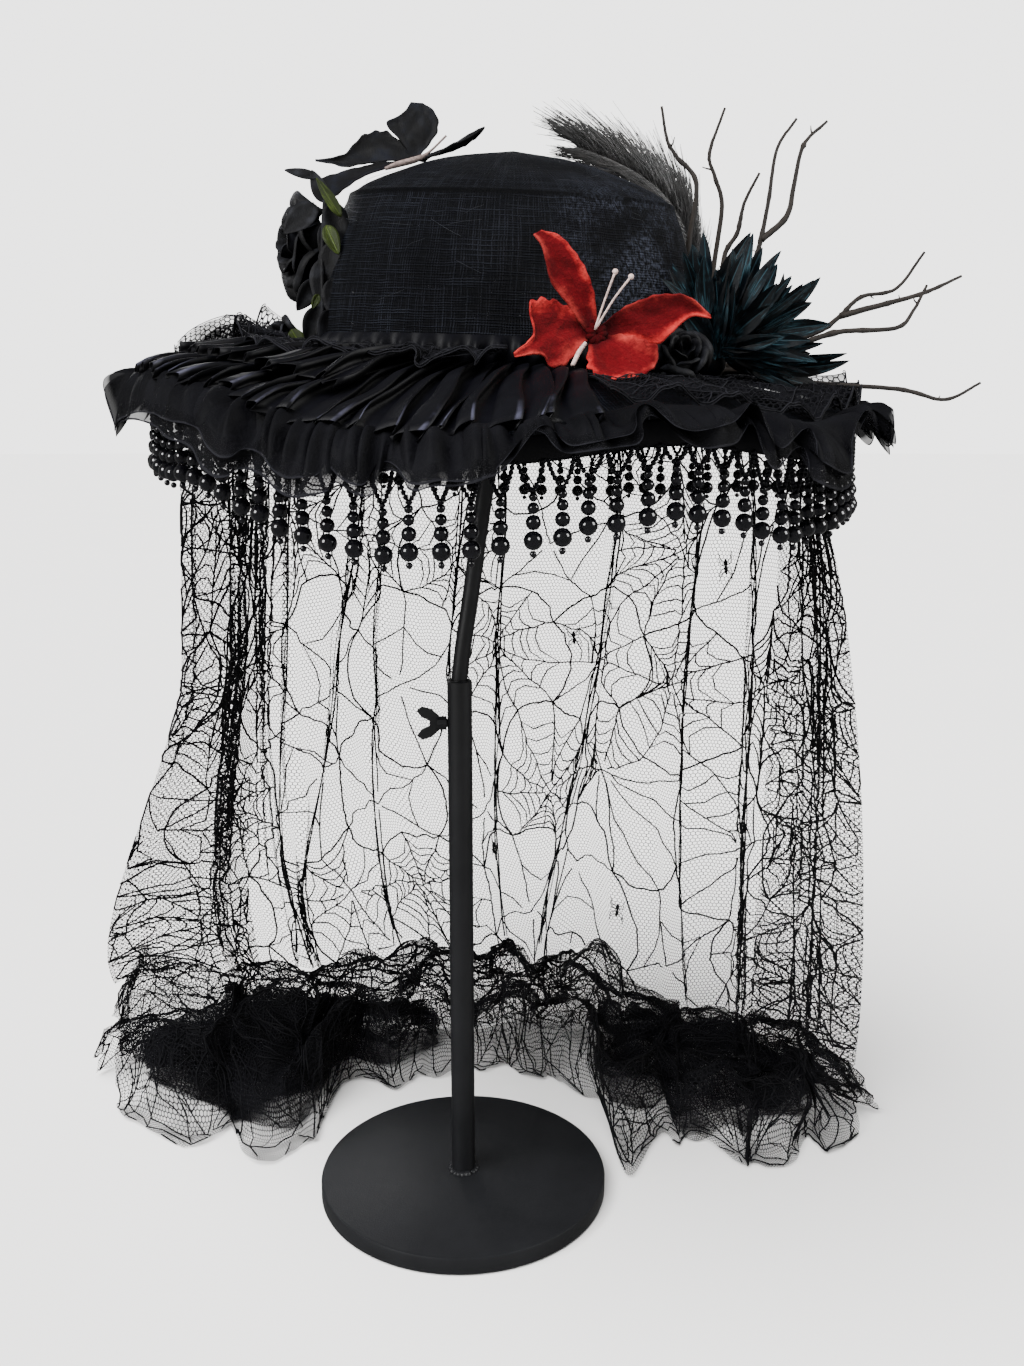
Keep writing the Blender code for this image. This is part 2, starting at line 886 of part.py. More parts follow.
def make_ruffle(finish):
    rows = (RUFFLE_OUTER, RUFFLE_KNEE, RUFFLE_INNER)

    def place(u, v):
        azimuth = math.tau * u
        row = round(v * 2)
        radius = rows[row]
        if row == 2:
            return on_brim(radius, azimuth, GAP + FABRIC)
        fold = flutes(azimuth, RUFFLE_FLUTES)
        hang = (radius - RUFFLE_INNER) / (RUFFLE_OUTER - RUFFLE_INNER)
        edge = brim_height(RUFFLE_KNEE, azimuth) + BRIM_WALL
        height = edge - RUFFLE_DROP * (1 - row) + RUFFLE_DEPTH * fold * hang
        return hat_point(radius + 0.002 * fold * (1 - row), azimuth, height + 0.0025 * row)

    sheet("edge_ruffle", 4 * RUFFLE_FLUTES, 2, place, FABRIC, finish, closed=True)


def make_fringe(finish):
    columns = 2 * FRINGE_DROPS
    half = FRINGE_TAPE / 2
    section = ((half, -FRINGE_TAPE_HEIGHT), (0.0, 0.0), (-half, -FRINGE_TAPE_HEIGHT))

    def place(u, v):
        azimuth = math.tau * u
        across, height = section[round(v * 3) % 3]
        top = brim_height(FRINGE_RADIUS, azimuth) - BRIM_WALL / 2 - 1.6 * GAP
        return hat_point(FRINGE_RADIUS + across, azimuth, top + height)

    bm = mapped_grid(columns, 3, place, True, True)
    bmesh.ops.recalc_face_normals(bm, faces=bm.faces)
    under = [face for face in bm.faces if face.normal.z < -0.9]
    under.sort(key=lambda face: math.atan2(face.calc_center_median().y, face.calc_center_median().x - HAT_X))
    drops = under[::2]
    fallen = 0.0
    for fall, width, thickness in FRINGE_STAGES:
        drops = bmesh.ops.extrude_discrete_faces(bm, faces=drops)["faces"]
        for face in drops:
            centre = face.calc_center_median()
            outward = Vector((centre.x - HAT_X, centre.y, 0.0)).normalized()
            along = Vector((-outward.y, outward.x, 0.0))
            below = centre - Vector((0.0, 0.0, fall - fallen))
            for vert in face.verts:
                away = vert.co - centre
                side = math.copysign(width / 2, away.dot(along))
                depth = math.copysign(thickness / 2, away.dot(outward))
                vert.co = below + along * side + outward * depth
        fallen = fall
    add_part("bead_fringe", to_mesh("bead_fringe", bm), finish)


# Veil


def veil_folds(share):
    wave = math.sin(math.tau * VEIL_FOLDS * share + 1.3 * math.sin(7 * share))
    return wave * (0.7 + 0.3 * math.sin(11 * share))


def veil_plan(share, fall):
    """Radius and azimuth of the veil at a share of its way round and of its fall."""
    left = max(0.0, 1.0 - share / 0.38) ** 1.5
    right = max(0.0, (share - 0.66) / 0.34) ** 1.5
    left_fall = max(0.0, fall - VEIL_LEFT_HANG) / (1.0 - VEIL_LEFT_HANG)
    right_fall = max(0.0, fall - VEIL_RIGHT_HANG) / (1.0 - VEIL_RIGHT_HANG)
    radius = VEIL_RADIUS + VEIL_BACK_FLARE * fall
    radius += VEIL_LEFT_FLARE * left * left_fall**1.3 + VEIL_RIGHT_FLARE * right * right_fall**0.8
    radius += veil_folds(share) * (VEIL_FOLD_TOP + (VEIL_FOLD_FOOT - VEIL_FOLD_TOP) * fall)
    start = VEIL_LEFT + VEIL_LEFT_SWING * left_fall**1.5
    end = VEIL_RIGHT + VEIL_RIGHT_SWING * right_fall
    return radius, start + (end - start) * share


def heap_height(share):
    right = min(1.0, max(0.0, (share - 0.55) / 0.2))
    height = HEAP_HEIGHT + (HEAP_RIGHT_HEIGHT - HEAP_HEIGHT) * right
    return height * (1.0 + 0.12 * math.sin(23 * share) + 0.06 * math.sin(41 * share + 1.0))


def veil_foot(share):
    radius, azimuth = veil_plan(share, 1.0)
    return Vector((HAT_X + radius * math.sin(azimuth), -radius * math.cos(azimuth), heap_height(share)))


def make_veil(finish):
    def place(u, v):
        fall = 1.0 - v
        radius, azimuth = veil_plan(u, fall)
        top = hat_point(radius, azimuth, brim_height(radius, azimuth) - BRIM_WALL / 2 - 2 * GAP).z
        if fall > 0.0:
            start_radius, start_azimuth = veil_plan(u, 0.0)
            under = brim_height(start_radius, start_azimuth) - BRIM_WALL / 2 - 2 * GAP
            top = hat_point(start_radius, start_azimuth, under).z
        foot = heap_height(u) + GAP
        x = HAT_X + radius * math.sin(azimuth)
        y = -radius * math.cos(azimuth)
        return Vector((x, y, top + (foot - top) * fall))

    sheet("veil_curtain", VEIL_COLUMNS, VEIL_ROWS, place, VEIL_WALL, finish)


def make_heap(finish):
    rows = len(HEAP_SECTION) - 1

    def place(u, v):
        row = round((1.0 - v) * rows)
        way, rise = HEAP_SECTION[row]
        crest = veil_foot(u)
        inward = Vector((HAT_X - crest.x, -crest.y, 0.0)).normalized()
        forward = (inward * HEAP_INWARD + Vector((0.0, -1.0, 0.0))).normalized()
        if way < 0:
            spot = crest - inward * HEAP_BACK * -way
        else:
            spot = crest + forward * table_value(HEAP_DEPTH, u) * way
        lump = 0.0
        if row > HEAP_CREST_ROW and rise > 0.0:
            lump = 0.16 * math.sin(29 * u + 3 * row) + 0.10 * math.sin(53 * u + row)
        height = VEIL_WALL + (crest.z - VEIL_WALL) * rise * (1.0 + lump)
        return Vector((spot.x, spot.y, height))

    sheet("veil_pool", VEIL_COLUMNS, rows, place, VEIL_WALL, finish, offset=-1.0)


# Butterflies


def frame_matrix(root, along, across):
    """A place whose X runs along, whose Y runs across and whose Z is square to both."""
    square = along.cross(across)
    turn = Matrix((along, across, square)).transposed().to_4x4()
    return Matrix.Translation(root) @ turn


def wing_matrix(root, angle, lean=0.0, roll=0.0):
    angle, lean, roll = (math.radians(value) for value in (angle, lean, roll))
    along = Vector((math.cos(angle) * math.cos(lean), -math.sin(lean), math.sin(angle) * math.cos(lean)))
    across = Vector((-math.sin(angle), 0.0, math.cos(angle)))
    across = (across - along * across.dot(along)).normalized()
    return frame_matrix(root, along, Matrix.Rotation(roll, 3, along) @ across)


def wing_outline(widths):
    over = [(along / 1000, up / 1000) for along, up, down in widths]
    under = [(along / 1000, -down / 1000) for along, up, down in widths]
    return under + over[::-1]


def make_butterfly(name, root, thorax, wings, finish):
    fly = add_part(name, ball_mesh(name, root, thorax, 8, 4), finish, 30.0)
    for number, wing in enumerate(wings, 1):
        place = wing_matrix(root, wing["angle"], wing["lean"], wing["roll"])
        plate = plate_mesh(wing_outline(wing["widths"]), WING_PLATE, place)
        boolean(fly, add_cutter(f"{name} wing {number}", plate), "UNION")


def make_fly_body(name, body, feelers, finish):
    part = add_part(name, rod_mesh(body), finish)
    for feeler in feelers:
        boolean(part, add_cutter(f"{name} feeler", rod_mesh(feeler)), "UNION")


# Flowers, leaves, twigs and plume


def make_rose(name, centre, axis, radius, depth, columns, finish):
    axis = Vector(axis).normalized()
    side = axis.cross(Vector((0.0, 0.0, 1.0))).normalized()
    place_here = frame_matrix(Vector(centre), side, axis.cross(side))
    spans = len(ROSE_ROWS) - 1

    def place(u, v):
        row = round(v * spans)
        out, rise, wave = ROSE_ROWS[row]
        angle = math.tau * u
        lobe = wave * math.cos(5 * angle + 1.9 * row)
        reach = radius * out * (1.0 + 0.07 * lobe)
        height = depth * (rise + 0.10 * lobe)
        return place_here @ Vector((reach * math.cos(angle), reach * math.sin(angle), height))

    bm = mapped_grid(columns, spans, place, True)
    bmesh.ops.recalc_face_normals(bm, faces=bm.faces)
    add_part(name, to_mesh(name, bm), finish)


def leaf_outline(length, width):
    half = width / 2
    upper = [(0.0, half * 0.3), (length * 0.3, half), (length * 0.65, half * 0.8), (length, half * 0.12)]
    return [(x, -y) for x, y in upper] + upper[::-1]


def make_left_leaves(finish):
    stem = [Vector(spot) for spot in LEFT_STEM]
    part = add_part("left_rose_leaves", tube_mesh(stem, STEM_RADIUS, 0), finish)
    for number, (root, angle, length, width) in enumerate(LEFT_LEAVES, 1):
        plate = plate_mesh(leaf_outline(length, width), WING_PLATE, wing_matrix(Vector(root), angle))
        boolean(part, add_cutter(f"green leaf {number}", plate), "UNION")


def clear_of_hat(spot):
    """True where a spot lies outside the crown and over the brim."""
    local = HAT_PLACE.inverted() @ spot
    radius = math.hypot(local.x, local.y)
    wall = table_value([(height, out) for out, height in CROWN_PROFILE], max(0.0, local.z))
    azimuth = math.atan2(local.x, -local.y)
    foot, middle, edge = (row[0] for row in BRIM_SECTION)
    over_brim = local.z - brim_height(max(radius, foot), azimuth)
    return radius > wall + SPRAY_CLEARANCE and (over_brim > SPRAY_CLEARANCE or radius > edge)


def make_leaf_spray(finish):
    """Leaves drawn out of the facets of a ball."""
    bm = bmesh.new()
    core = Vector(SPRAY_CORE)
    middle = Matrix.Translation(core)
    bmesh.ops.create_icosphere(bm, subdivisions=2, radius=SPRAY_CORE_RADIUS, matrix=middle)
    low, high = SPRAY_ANGLES
    buds = []
    for face in bm.faces:
        way = (face.calc_center_median() - core).normalized()
        angle = math.degrees(math.atan2(way.z, way.x))
        reach = core + way * SPRAY_LENGTH
        free = clear_of_hat(reach) and clear_of_hat(core.lerp(reach, 0.5))
        if low < angle < high and abs(way.y) < SPRAY_DEPTH and free:
            buds.append((face, way))
    for face, way in buds:
        across = way.cross(Vector((0.0, 1.0, 0.0))).normalized()
        square = way.cross(across)
        for share, width, thickness in SPRAY_STAGES:
            face = bmesh.ops.extrude_discrete_faces(bm, faces=[face])["faces"][0]
            centre = face.calc_center_median()
            for vert in face.verts:
                away = (vert.co - centre).normalized()
                spread = across * away.dot(across) * width + square * away.dot(square) * thickness
                vert.co = core + way * SPRAY_LENGTH * share + spread
    add_part("leaf_spray", to_mesh("leaf_spray", bm), finish)


def make_twigs(finish):
    knot = ball_mesh("knot", TWIG_KNOT, (TWIG_KNOT_RADIUS,) * 3, 8, 6)
    spray = add_part("twig_spray", knot, finish)
    for number, (from_knot, *bends) in enumerate(TWIGS, 1):
        route = [Vector(bend) / 1000 for bend in bends]
        if from_knot:
            route.insert(0, Vector(TWIG_KNOT))
        twig = tube_mesh(route, TWIG_RADIUS, 0, TWIG_TIP)
        boolean(spray, add_cutter(f"twig {number}", twig), "UNION")


def make_plume(finish):
    """A flat vane with notched edges, whose barbs sweep towards the tip."""
    quill = [Vector((x, z)) / 1000 for x, z, over, under in PLUME_VANE]
    edges = {1: [], -1: []}
    for index, (x, z, over, under) in enumerate(PLUME_VANE):
        ahead = quill[min(index + 1, len(quill) - 1)] - quill[max(index - 1, 0)]
        ahead.normalize()
        side = Vector((ahead.y, -ahead.x))
        for way, reach in ((1, over), (-1, under)):
            barb = side * way + ahead * PLUME_SWEEP
            edges[way].append(quill[index] + barb * reach / 1000)
            if reach > 2.0 and index < len(PLUME_VANE) - 1:
                middle = (quill[index] + quill[index + 1]) / 2
                edges[way].append(middle + barb * reach * (1.0 - PLUME_NOTCH) / 1000)
    outline = [tuple(spot) for spot in edges[1] + edges[-1][::-1]]
    add_part("feather_plume", plate_mesh(outline, PLUME_PLATE, upright(PLUME_Y, 0.0)), finish)


clear_scene()
PARTS = collection("bonnet_on_stand")
CUTTERS = collection("cutters")
BLACK_METAL = material("black_metal", (0.012, 0.012, 0.013), 0.45, 0.4)
STRAW = material("black_straw", (0.012, 0.013, 0.018), 0.7)
SATIN = material("black_satin", (0.010, 0.010, 0.013), 0.35)
NET = material("black_net", (0.008, 0.008, 0.010), 0.85)
BEADS = material("black_beads", (0.004, 0.004, 0.005), 0.12)
RED_VELVET = material("red_velvet", (0.42, 0.015, 0.010), 0.8)
BLACK_FELT = material("black_felt", (0.007, 0.007, 0.009), 0.85)
PALE_STAMEN = material("pale_stamen", (0.70, 0.52, 0.47), 0.6)
GREEN_LEAF = material("green_leaf", (0.07, 0.13, 0.02), 0.6)
TEAL_LEAF = material("teal_leaf", (0.006, 0.020, 0.026), 0.5)
TWIG_BARK = material("twig_bark", (0.018, 0.014, 0.012), 0.75)
PLUMAGE = material("grey_brown_plumage", (0.030, 0.026, 0.023), 0.9)
make_stand_base(BLACK_METAL)
make_rod(BLACK_METAL)
make_wing_screw(BLACK_METAL)
make_crown(STRAW)
make_brim(STRAW)
make_band(SATIN)
make_pleats(SATIN)
make_net_gather(NET)
make_lace_frill(NET)
make_ruffle(SATIN)
make_fringe(BEADS)
make_veil(NET)
make_heap(NET)
make_butterfly("red_butterfly", Vector(RED_FLY_ROOT), RED_THORAX, RED_WINGS, RED_VELVET)
make_fly_body("red_butterfly_body", RED_BODY, (RED_FEELER,), PALE_STAMEN)
make_butterfly("crown_butterfly", Vector(CROWN_FLY_ROOT), CROWN_THORAX, CROWN_WINGS, BLACK_FELT)
make_fly_body("crown_butterfly_body", CROWN_BODY, (), PALE_STAMEN)
for rose in ROSES:
    make_rose(*rose, BLACK_FELT)
make_left_leaves(GREEN_LEAF)
make_leaf_spray(TEAL_LEAF)
make_twigs(TWIG_BARK)
make_plume(PLUMAGE)
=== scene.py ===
"""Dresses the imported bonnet, its bead fringe, web-lace veil and hat stand, for a studio picture.

Metres, +Z up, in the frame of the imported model. A place on the hat is given by its radius from the hat's
axis, its azimuth (0 at the front, growing towards +X) and its height over the crown's foot.
"""

import math

import bmesh
import bpy
import numpy as np
from mathutils import Matrix, Vector, noise


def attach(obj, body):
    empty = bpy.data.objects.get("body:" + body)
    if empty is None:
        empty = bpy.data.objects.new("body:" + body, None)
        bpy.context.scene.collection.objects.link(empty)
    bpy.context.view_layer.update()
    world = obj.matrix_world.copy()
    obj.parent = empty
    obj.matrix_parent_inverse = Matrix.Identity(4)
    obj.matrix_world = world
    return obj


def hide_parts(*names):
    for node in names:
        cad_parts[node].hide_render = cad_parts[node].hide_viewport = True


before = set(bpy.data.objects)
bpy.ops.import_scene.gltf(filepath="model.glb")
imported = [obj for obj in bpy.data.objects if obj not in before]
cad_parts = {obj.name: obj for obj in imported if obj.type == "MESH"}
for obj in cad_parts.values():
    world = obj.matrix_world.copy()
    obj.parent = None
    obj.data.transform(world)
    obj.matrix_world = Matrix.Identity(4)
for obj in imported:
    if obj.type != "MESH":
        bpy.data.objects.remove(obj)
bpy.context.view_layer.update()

bl_info = {
    "name": "Black straw bonnet",
    "version": (1, 0, 0),
    "blender": (4, 5, 0),
    "location": "3D View > Sidebar > Bonnet",
    "description": "Dresses the packed bonnet with straw, satin, beads, net and flowers",
    "category": "Object",
}

TAU = math.tau

# Stand, as in the part's source
DISC_RADIUS = 0.080
DISC_THICKNESS = 0.0105
DISC_EDGE = 0.0015
TUBE_RADIUS = 0.0065
TUBE_BORE = 0.0048
TUBE_TOP = 0.293
TUBE_BORE_FOOT = 0.150
ROD_RADIUS = 0.0043
ROD_ROUTE = (
    # x, z
    (0.0000, 0.1550), (0.0000, 0.2940), (0.0022, 0.3120), (0.0058, 0.3350), (0.0101, 0.3660),
    (0.0143, 0.3935), (0.0195, 0.4250), (0.0242, 0.4600), (0.0270, 0.5000),
)
HEAD_PLATE_DROP = 0.0045
HEAD_PLATE = (
    # radius, height of the hidden plate on the rod's top
    (0.0, 0.002), (0.0345, 0.002), (0.036, 0.0), (0.0345, -0.002), (0.0, -0.002),
)

# Hat, as in the part's source
HAT_X = 0.0244
HAT_Z = 0.450
HAT_TILT = math.radians(2.0)
HAT_NOD = math.radians(2.5)
CROWN_SLOPE = 0.0050
SEAM_HEIGHT = 0.079
SEAM_RADIUS = 0.0783
CROWN_SIDE = (
    # radius, height
    (0.0955, 0.0000), (0.0935, 0.0220), (0.0895, 0.0480), (0.0835, 0.0680), (0.0783, 0.0790),
)
CROWN_DOME = (
    # radius, height
    (0.0783, 0.0790), (0.0715, 0.0845), (0.0560, 0.0912), (0.0340, 0.0983), (0.0000, 0.1033),
)
BRIM_WALL = 0.002
BRIM_INNER = 0.0962
BRIM_EDGE = 0.1740
BRIM_SECTION = (
    # radius, share of the fall, share of the droop
    (BRIM_INNER, 0.00, 0.00),
    (0.1350, 0.47, 0.27),
    (BRIM_EDGE, 1.04, 1.08),
)
BRIM_DROP = 0.0075
BRIM_SLANT = 0.0030
BRIM_FRONT_DROP = 0.0150
BRIM_BACK_DROP = 0.0210
HEM = (
    # azimuth (degrees), out from the brim's edge, drop under it (mm)
    (-106.0, 8.0, -1.3), (-98.0, 10.0, -3.3), (-91.8, 16.0, -2.7), (-89.2, 22.0, -0.8),
    (-88.4, 24.0, 5.1), (-88.7, 20.0, 20.4), (-85.0, 17.0, 26.5), (-78.0, 13.0, 22.5),
    (-70.0, 9.0, 18.5), (-63.0, 8.0, 15.0), (-56.4, 8.0, 13.0), (-49.2, 12.0, 12.5),
    (-44.0, 14.0, 10.8), (-40.9, 16.0, 11.0), (-39.5, 16.0, 16.1), (-37.4, 16.0, 18.6),
    (-36.0, 14.0, 17.5), (-35.5, 10.0, 14.4), (-34.4, 8.0, 13.5), (-31.6, 12.0, 13.1),
    (-29.2, 16.0, 15.9), (-27.3, 17.0, 17.2), (-25.4, 16.0, 15.8), (-23.8, 13.0, 13.9),
    (-23.5, 9.0, 10.9), (-22.6, 9.0, 11.2), (-20.5, 14.0, 13.8), (-18.6, 17.0, 15.3),
    (-17.5, 15.0, 14.9), (-17.3, 10.0, 10.8), (-17.0, 6.0, 7.7), (-15.7, 6.0, 7.4), (-14.2, 9.0, 9.8),
    (-12.7, 14.0, 14.4), (-11.0, 17.0, 15.4), (-8.8, 17.0, 14.3), (-6.9, 16.0, 15.0),
    (-4.7, 16.0, 14.7), (-2.5, 16.0, 12.9), (-1.0, 14.0, 8.3), (0.2, 12.0, 3.4), (1.5, 10.0, -1.6),
    (2.5, 9.0, -3.0), (3.5, 10.0, -1.7), (4.3, 13.0, 2.3), (5.4, 16.0, 5.0), (7.5, 17.0, 4.8),
    (10.0, 17.0, 4.1), (12.0, 16.0, 3.6), (12.7, 15.0, 0.8), (12.9, 12.0, -4.0), (13.9, 10.0, -6.1),
    (15.1, 11.0, -4.6), (16.2, 13.0, -0.8), (17.4, 16.0, 3.0), (19.5, 17.0, 4.8), (22.2, 16.0, 3.7),
    (25.2, 14.0, 1.2), (27.3, 11.0, -3.0), (29.0, 9.0, -7.2), (29.8, 10.0, -6.1), (30.3, 13.0, 0.7),
    (30.9, 16.0, 6.7), (32.2, 17.0, 8.6), (34.8, 14.0, 4.9), (37.6, 11.0, 0.3), (39.7, 10.0, -0.7),
    (39.8, 13.0, 3.8), (39.2, 16.0, 10.1), (40.8, 18.0, 13.1), (43.9, 18.0, 15.2), (47.4, 16.0, 14.9),
    (49.3, 13.0, 9.8), (49.5, 12.0, 3.4), (51.8, 10.0, -3.1), (56.5, 8.0, -5.9), (60.7, 8.0, -2.2),
    (63.1, 10.0, 5.5), (65.6, 13.0, 11.4), (64.1, 16.0, 9.5), (62.2, 17.0, 1.8), (64.0, 15.0, -3.3),
)
HEM_BACK_LOOPS = 21
HEM_BACK_LOOP = (
    # share of the loop, out from the brim's edge, drop under it (mm)
    (0.00, 9.0, -2.0), (0.22, 14.0, 4.0), (0.50, 17.0, 13.0), (0.72, 14.0, 9.0),
)
DROP_FALLS = (
    # azimuth (degrees), from the tape down to the big bead (mm)
    (-180.0, 34.0), (-60.0, 31.0), (-50.0, 28.5), (-40.0, 33.5), (-30.0, 35.0), (-10.0, 35.2),
    (0.0, 32.5), (10.0, 30.5), (20.0, 29.0), (30.0, 29.6), (40.0, 35.3), (50.0, 32.2), (60.0, 34.0),
    (180.0, 34.0),
)
EDGE_WAVES = (
    # azimuth (degrees), rise of the edge, half width (degrees)
    (-92.0, -0.0050, 15.0),
    (-22.0, -0.0070, 14.0),
    (20.0, 0.0085, 15.0),
    (49.0, -0.0035, 9.0),
    (82.0, -0.0025, 12.0),
)

# Veil, as in the part's source
VEIL_RADIUS = 0.1600
VEIL_LEFT = math.radians(-85)
VEIL_RIGHT = math.radians(-280)
VEIL_LEFT_SWING = math.radians(-31)
VEIL_RIGHT_SWING = math.radians(25)
HEAP_SECTION = (
    # way from the outer edge over the crest to the front, share of the height
    (-1.00, 0.00), (-0.35, 0.75), (0.00, 1.00), (0.30, 0.62), (0.62, 0.70), (0.88, 0.00), (1.00, 0.00),
)
HEAP_DEPTH = (
    # share along the veil, depth from the crest to the front edge
    (0.00, 0.040), (0.06, 0.095), (0.12, 0.115), (0.20, 0.105), (0.26, 0.060), (0.34, 0.045),
    (0.54, 0.045), (0.61, 0.100), (0.66, 0.116), (0.80, 0.106), (0.90, 0.085), (1.00, 0.030),
)

# Veil cloth: where it is bunched into dark folds
VEIL_FALL = 0.385
POOL_RUN = 0.230
FOLD_PITCH = 0.0220
# The noise library takes its offsets from the clock unless it is given a seed.
RUMPLE_SEED = 4
BUNCHES = (
    # (fall, share) along the bunch, half width (share), how much denser
    (((0.0, 0.150), (0.45, 0.150), (0.65, 0.150), (0.83, 0.130), (1.0, 0.110)), 0.080, 0.8),
    (((0.0, 0.335), (0.26, 0.323), (0.50, 0.295), (0.71, 0.250), (1.0, 0.185)), 0.0075, 3.2),
    (((0.0, 0.233), (0.46, 0.238), (0.84, 0.198), (1.0, 0.160)), 0.0040, 2.0),
    (((0.0, 0.350), (0.51, 0.357), (0.90, 0.310), (1.0, 0.300)), 0.0045, 2.6),
    (((0.0, 0.445), (0.50, 0.450), (1.0, 0.420)), 0.0045, 2.6),
    (((0.0, 0.490), (0.51, 0.512), (0.83, 0.492), (1.0, 0.480)), 0.0080, 2.6),
    (((0.0, 0.628), (0.42, 0.635), (0.60, 0.618), (0.79, 0.583), (1.0, 0.530)), 0.0110, 2.8),
    (((0.0, 0.722), (0.50, 0.750), (1.0, 0.785)), 0.0040, 2.6),
    (((0.0, 0.800), (0.50, 0.828), (1.0, 0.862)), 0.0100, 2.4),
    (((0.0, 0.925), (0.42, 0.912), (0.75, 0.923), (1.0, 0.938)), 0.0350, 1.2),
)
LEFT_TURN = 0.11
RIGHT_TURN = 0.075
SEAM_DEPTH = 0.002
SPIDERS = (
    # across and down the flat cloth (m), turn
    (0.210, 0.080, 0.1), (0.330, 0.340, -0.2), (0.420, 0.120, 0.3), (0.560, 0.300, 3.0),
    (0.640, 0.150, 0.2), (0.720, 0.330, -0.1), (0.120, 0.260, 2.8), (0.800, 0.090, 0.2),
)
POOL_LAYERS = (
    # left and right share of the cloth, share of the heap's height
    (0.03, 0.27, 0.74), (0.03, 0.25, 0.62), (0.05, 0.23, 0.48), (0.16, 0.37, 0.52), (0.63, 0.93, 0.74),
    (0.67, 0.90, 0.56),
)
POOL_NET_SHARE = 0.68
POOL_LAYER_RUN = 0.15
SPIDER_BODY = (0.4, 1.2, 1.5, 0.7, 1.3, 1.0, 0.4)
WHOLE_WEBS = 0.62
OPEN_WEBS = 0.84
WHOLE_RINGS = (0.12, 0.25, 0.39, 0.53, 0.68, 0.83)
HALF_RINGS = (0.28, 0.46, 0.66, 0.86)

# Trimmings
PLEAT_CLOTH = 0.030
PLEAT_DROP_FROM = 0.1640
BAND_FOOT = 0.0958
PLEAT_SECTION = (
    # share of a pleat's width, share of its rise
    (0.00, 0.02), (0.08, 0.30), (0.38, 0.72), (0.76, 1.00), (0.84, 0.98), (0.90, 0.55), (1.00, 0.05),
)
RUFFLE_ROOT = 0.169
RUFFLE_CLOTH = (1.50, 0.029)
FRINGE_RADIUS = 0.171
TAPE_DROP = 0.0058
TAPE_SECTION = (0.0010, 0.0056)
BEAD_SHARES = (0.47, 0.62, 0.80, 1.0, 0.36)
PETAL_TURN = math.radians(137.5)
WELD_BEADS = 16
STRAW_FIBRES = 46
SPRAY_LEAVES = 104
PLUME_BARBS = 2900
WELD_REACH = 0.000002

# Light, floor and camera
ROOM_LIGHT = 0.28
BACKGROUND_LIGHT = 3.15
SUN_POWER = 12.6
SUN_SPREAD = math.radians(55.0)
SUN_TURN = (math.radians(24.0), math.radians(-22.0), 0.0)
LAMPS = (
    # name, place, size, power
    ("left_lamp", (-1.1, -0.9, 0.9), 0.65, 34.0),
    ("right_lamp", (1.2, -0.5, 0.9), 0.65, 24.0),
    ("back_lamp", (-0.6, 1.3, 1.0), 0.7, 9.0),
)
LAMP_AIM = (0.02, 0.0, 0.38)
FLOOR_RADIUS = 30.0
CAMERA_PLACE = (0.0, -0.644, 0.419)
CAMERA_TURN = (math.radians(90.0 - 11.22), 0.0, math.radians(-2.45))
SENSOR_HEIGHT = 36.0
FOCAL_PIXELS = 1250.0
FRAME_PIXELS = 1366.0


# Shader sums


class Wire:
    """A shader socket that takes part in Python expressions."""

    def __init__(self, finish, socket):
        self.finish = finish
        self.socket = socket

    def maths(self, operation, *values):
        """A maths node over these values."""
        return self.finish.node("ShaderNodeMath", {"operation": operation}, dict(enumerate(values)))

    def __add__(self, other):
        return self.maths("ADD", self, other)

    def __radd__(self, other):
        return self.maths("ADD", other, self)

    def __sub__(self, other):
        return self.maths("SUBTRACT", self, other)

    def __rsub__(self, other):
        return self.maths("SUBTRACT", other, self)

    def __mul__(self, other):
        return self.maths("MULTIPLY", self, other)

    def __rmul__(self, other):
        return self.maths("MULTIPLY", other, self)

    def __pow__(self, other):
        return self.maths("POWER", self, other)

    def __mod__(self, other):
        return self.maths("FLOORED_MODULO", self, other)

    def __abs__(self):
        return self.maths("ABSOLUTE", self)

    def sine(self):
        """The sine of the wire."""
        return self.maths("SINE", self)

    def most(self, other):
        """The greater of the two."""
        return self.maths("MAXIMUM", self, other)

    def least(self, other):
        """The smaller of the two."""
        return self.maths("MINIMUM", self, other)

    def rise(self, low, high):
        """0 under low, 1 over high, and smooth between them. It falls where low is over high."""
        if low > high:
            return 1.0 - self.rise(high, low)
        settings = {"interpolation_type": "SMOOTHSTEP"}
        inputs = {"Value": self, "From Min": low, "From Max": high}
        return self.finish.node("ShaderNodeMapRange", settings, inputs)


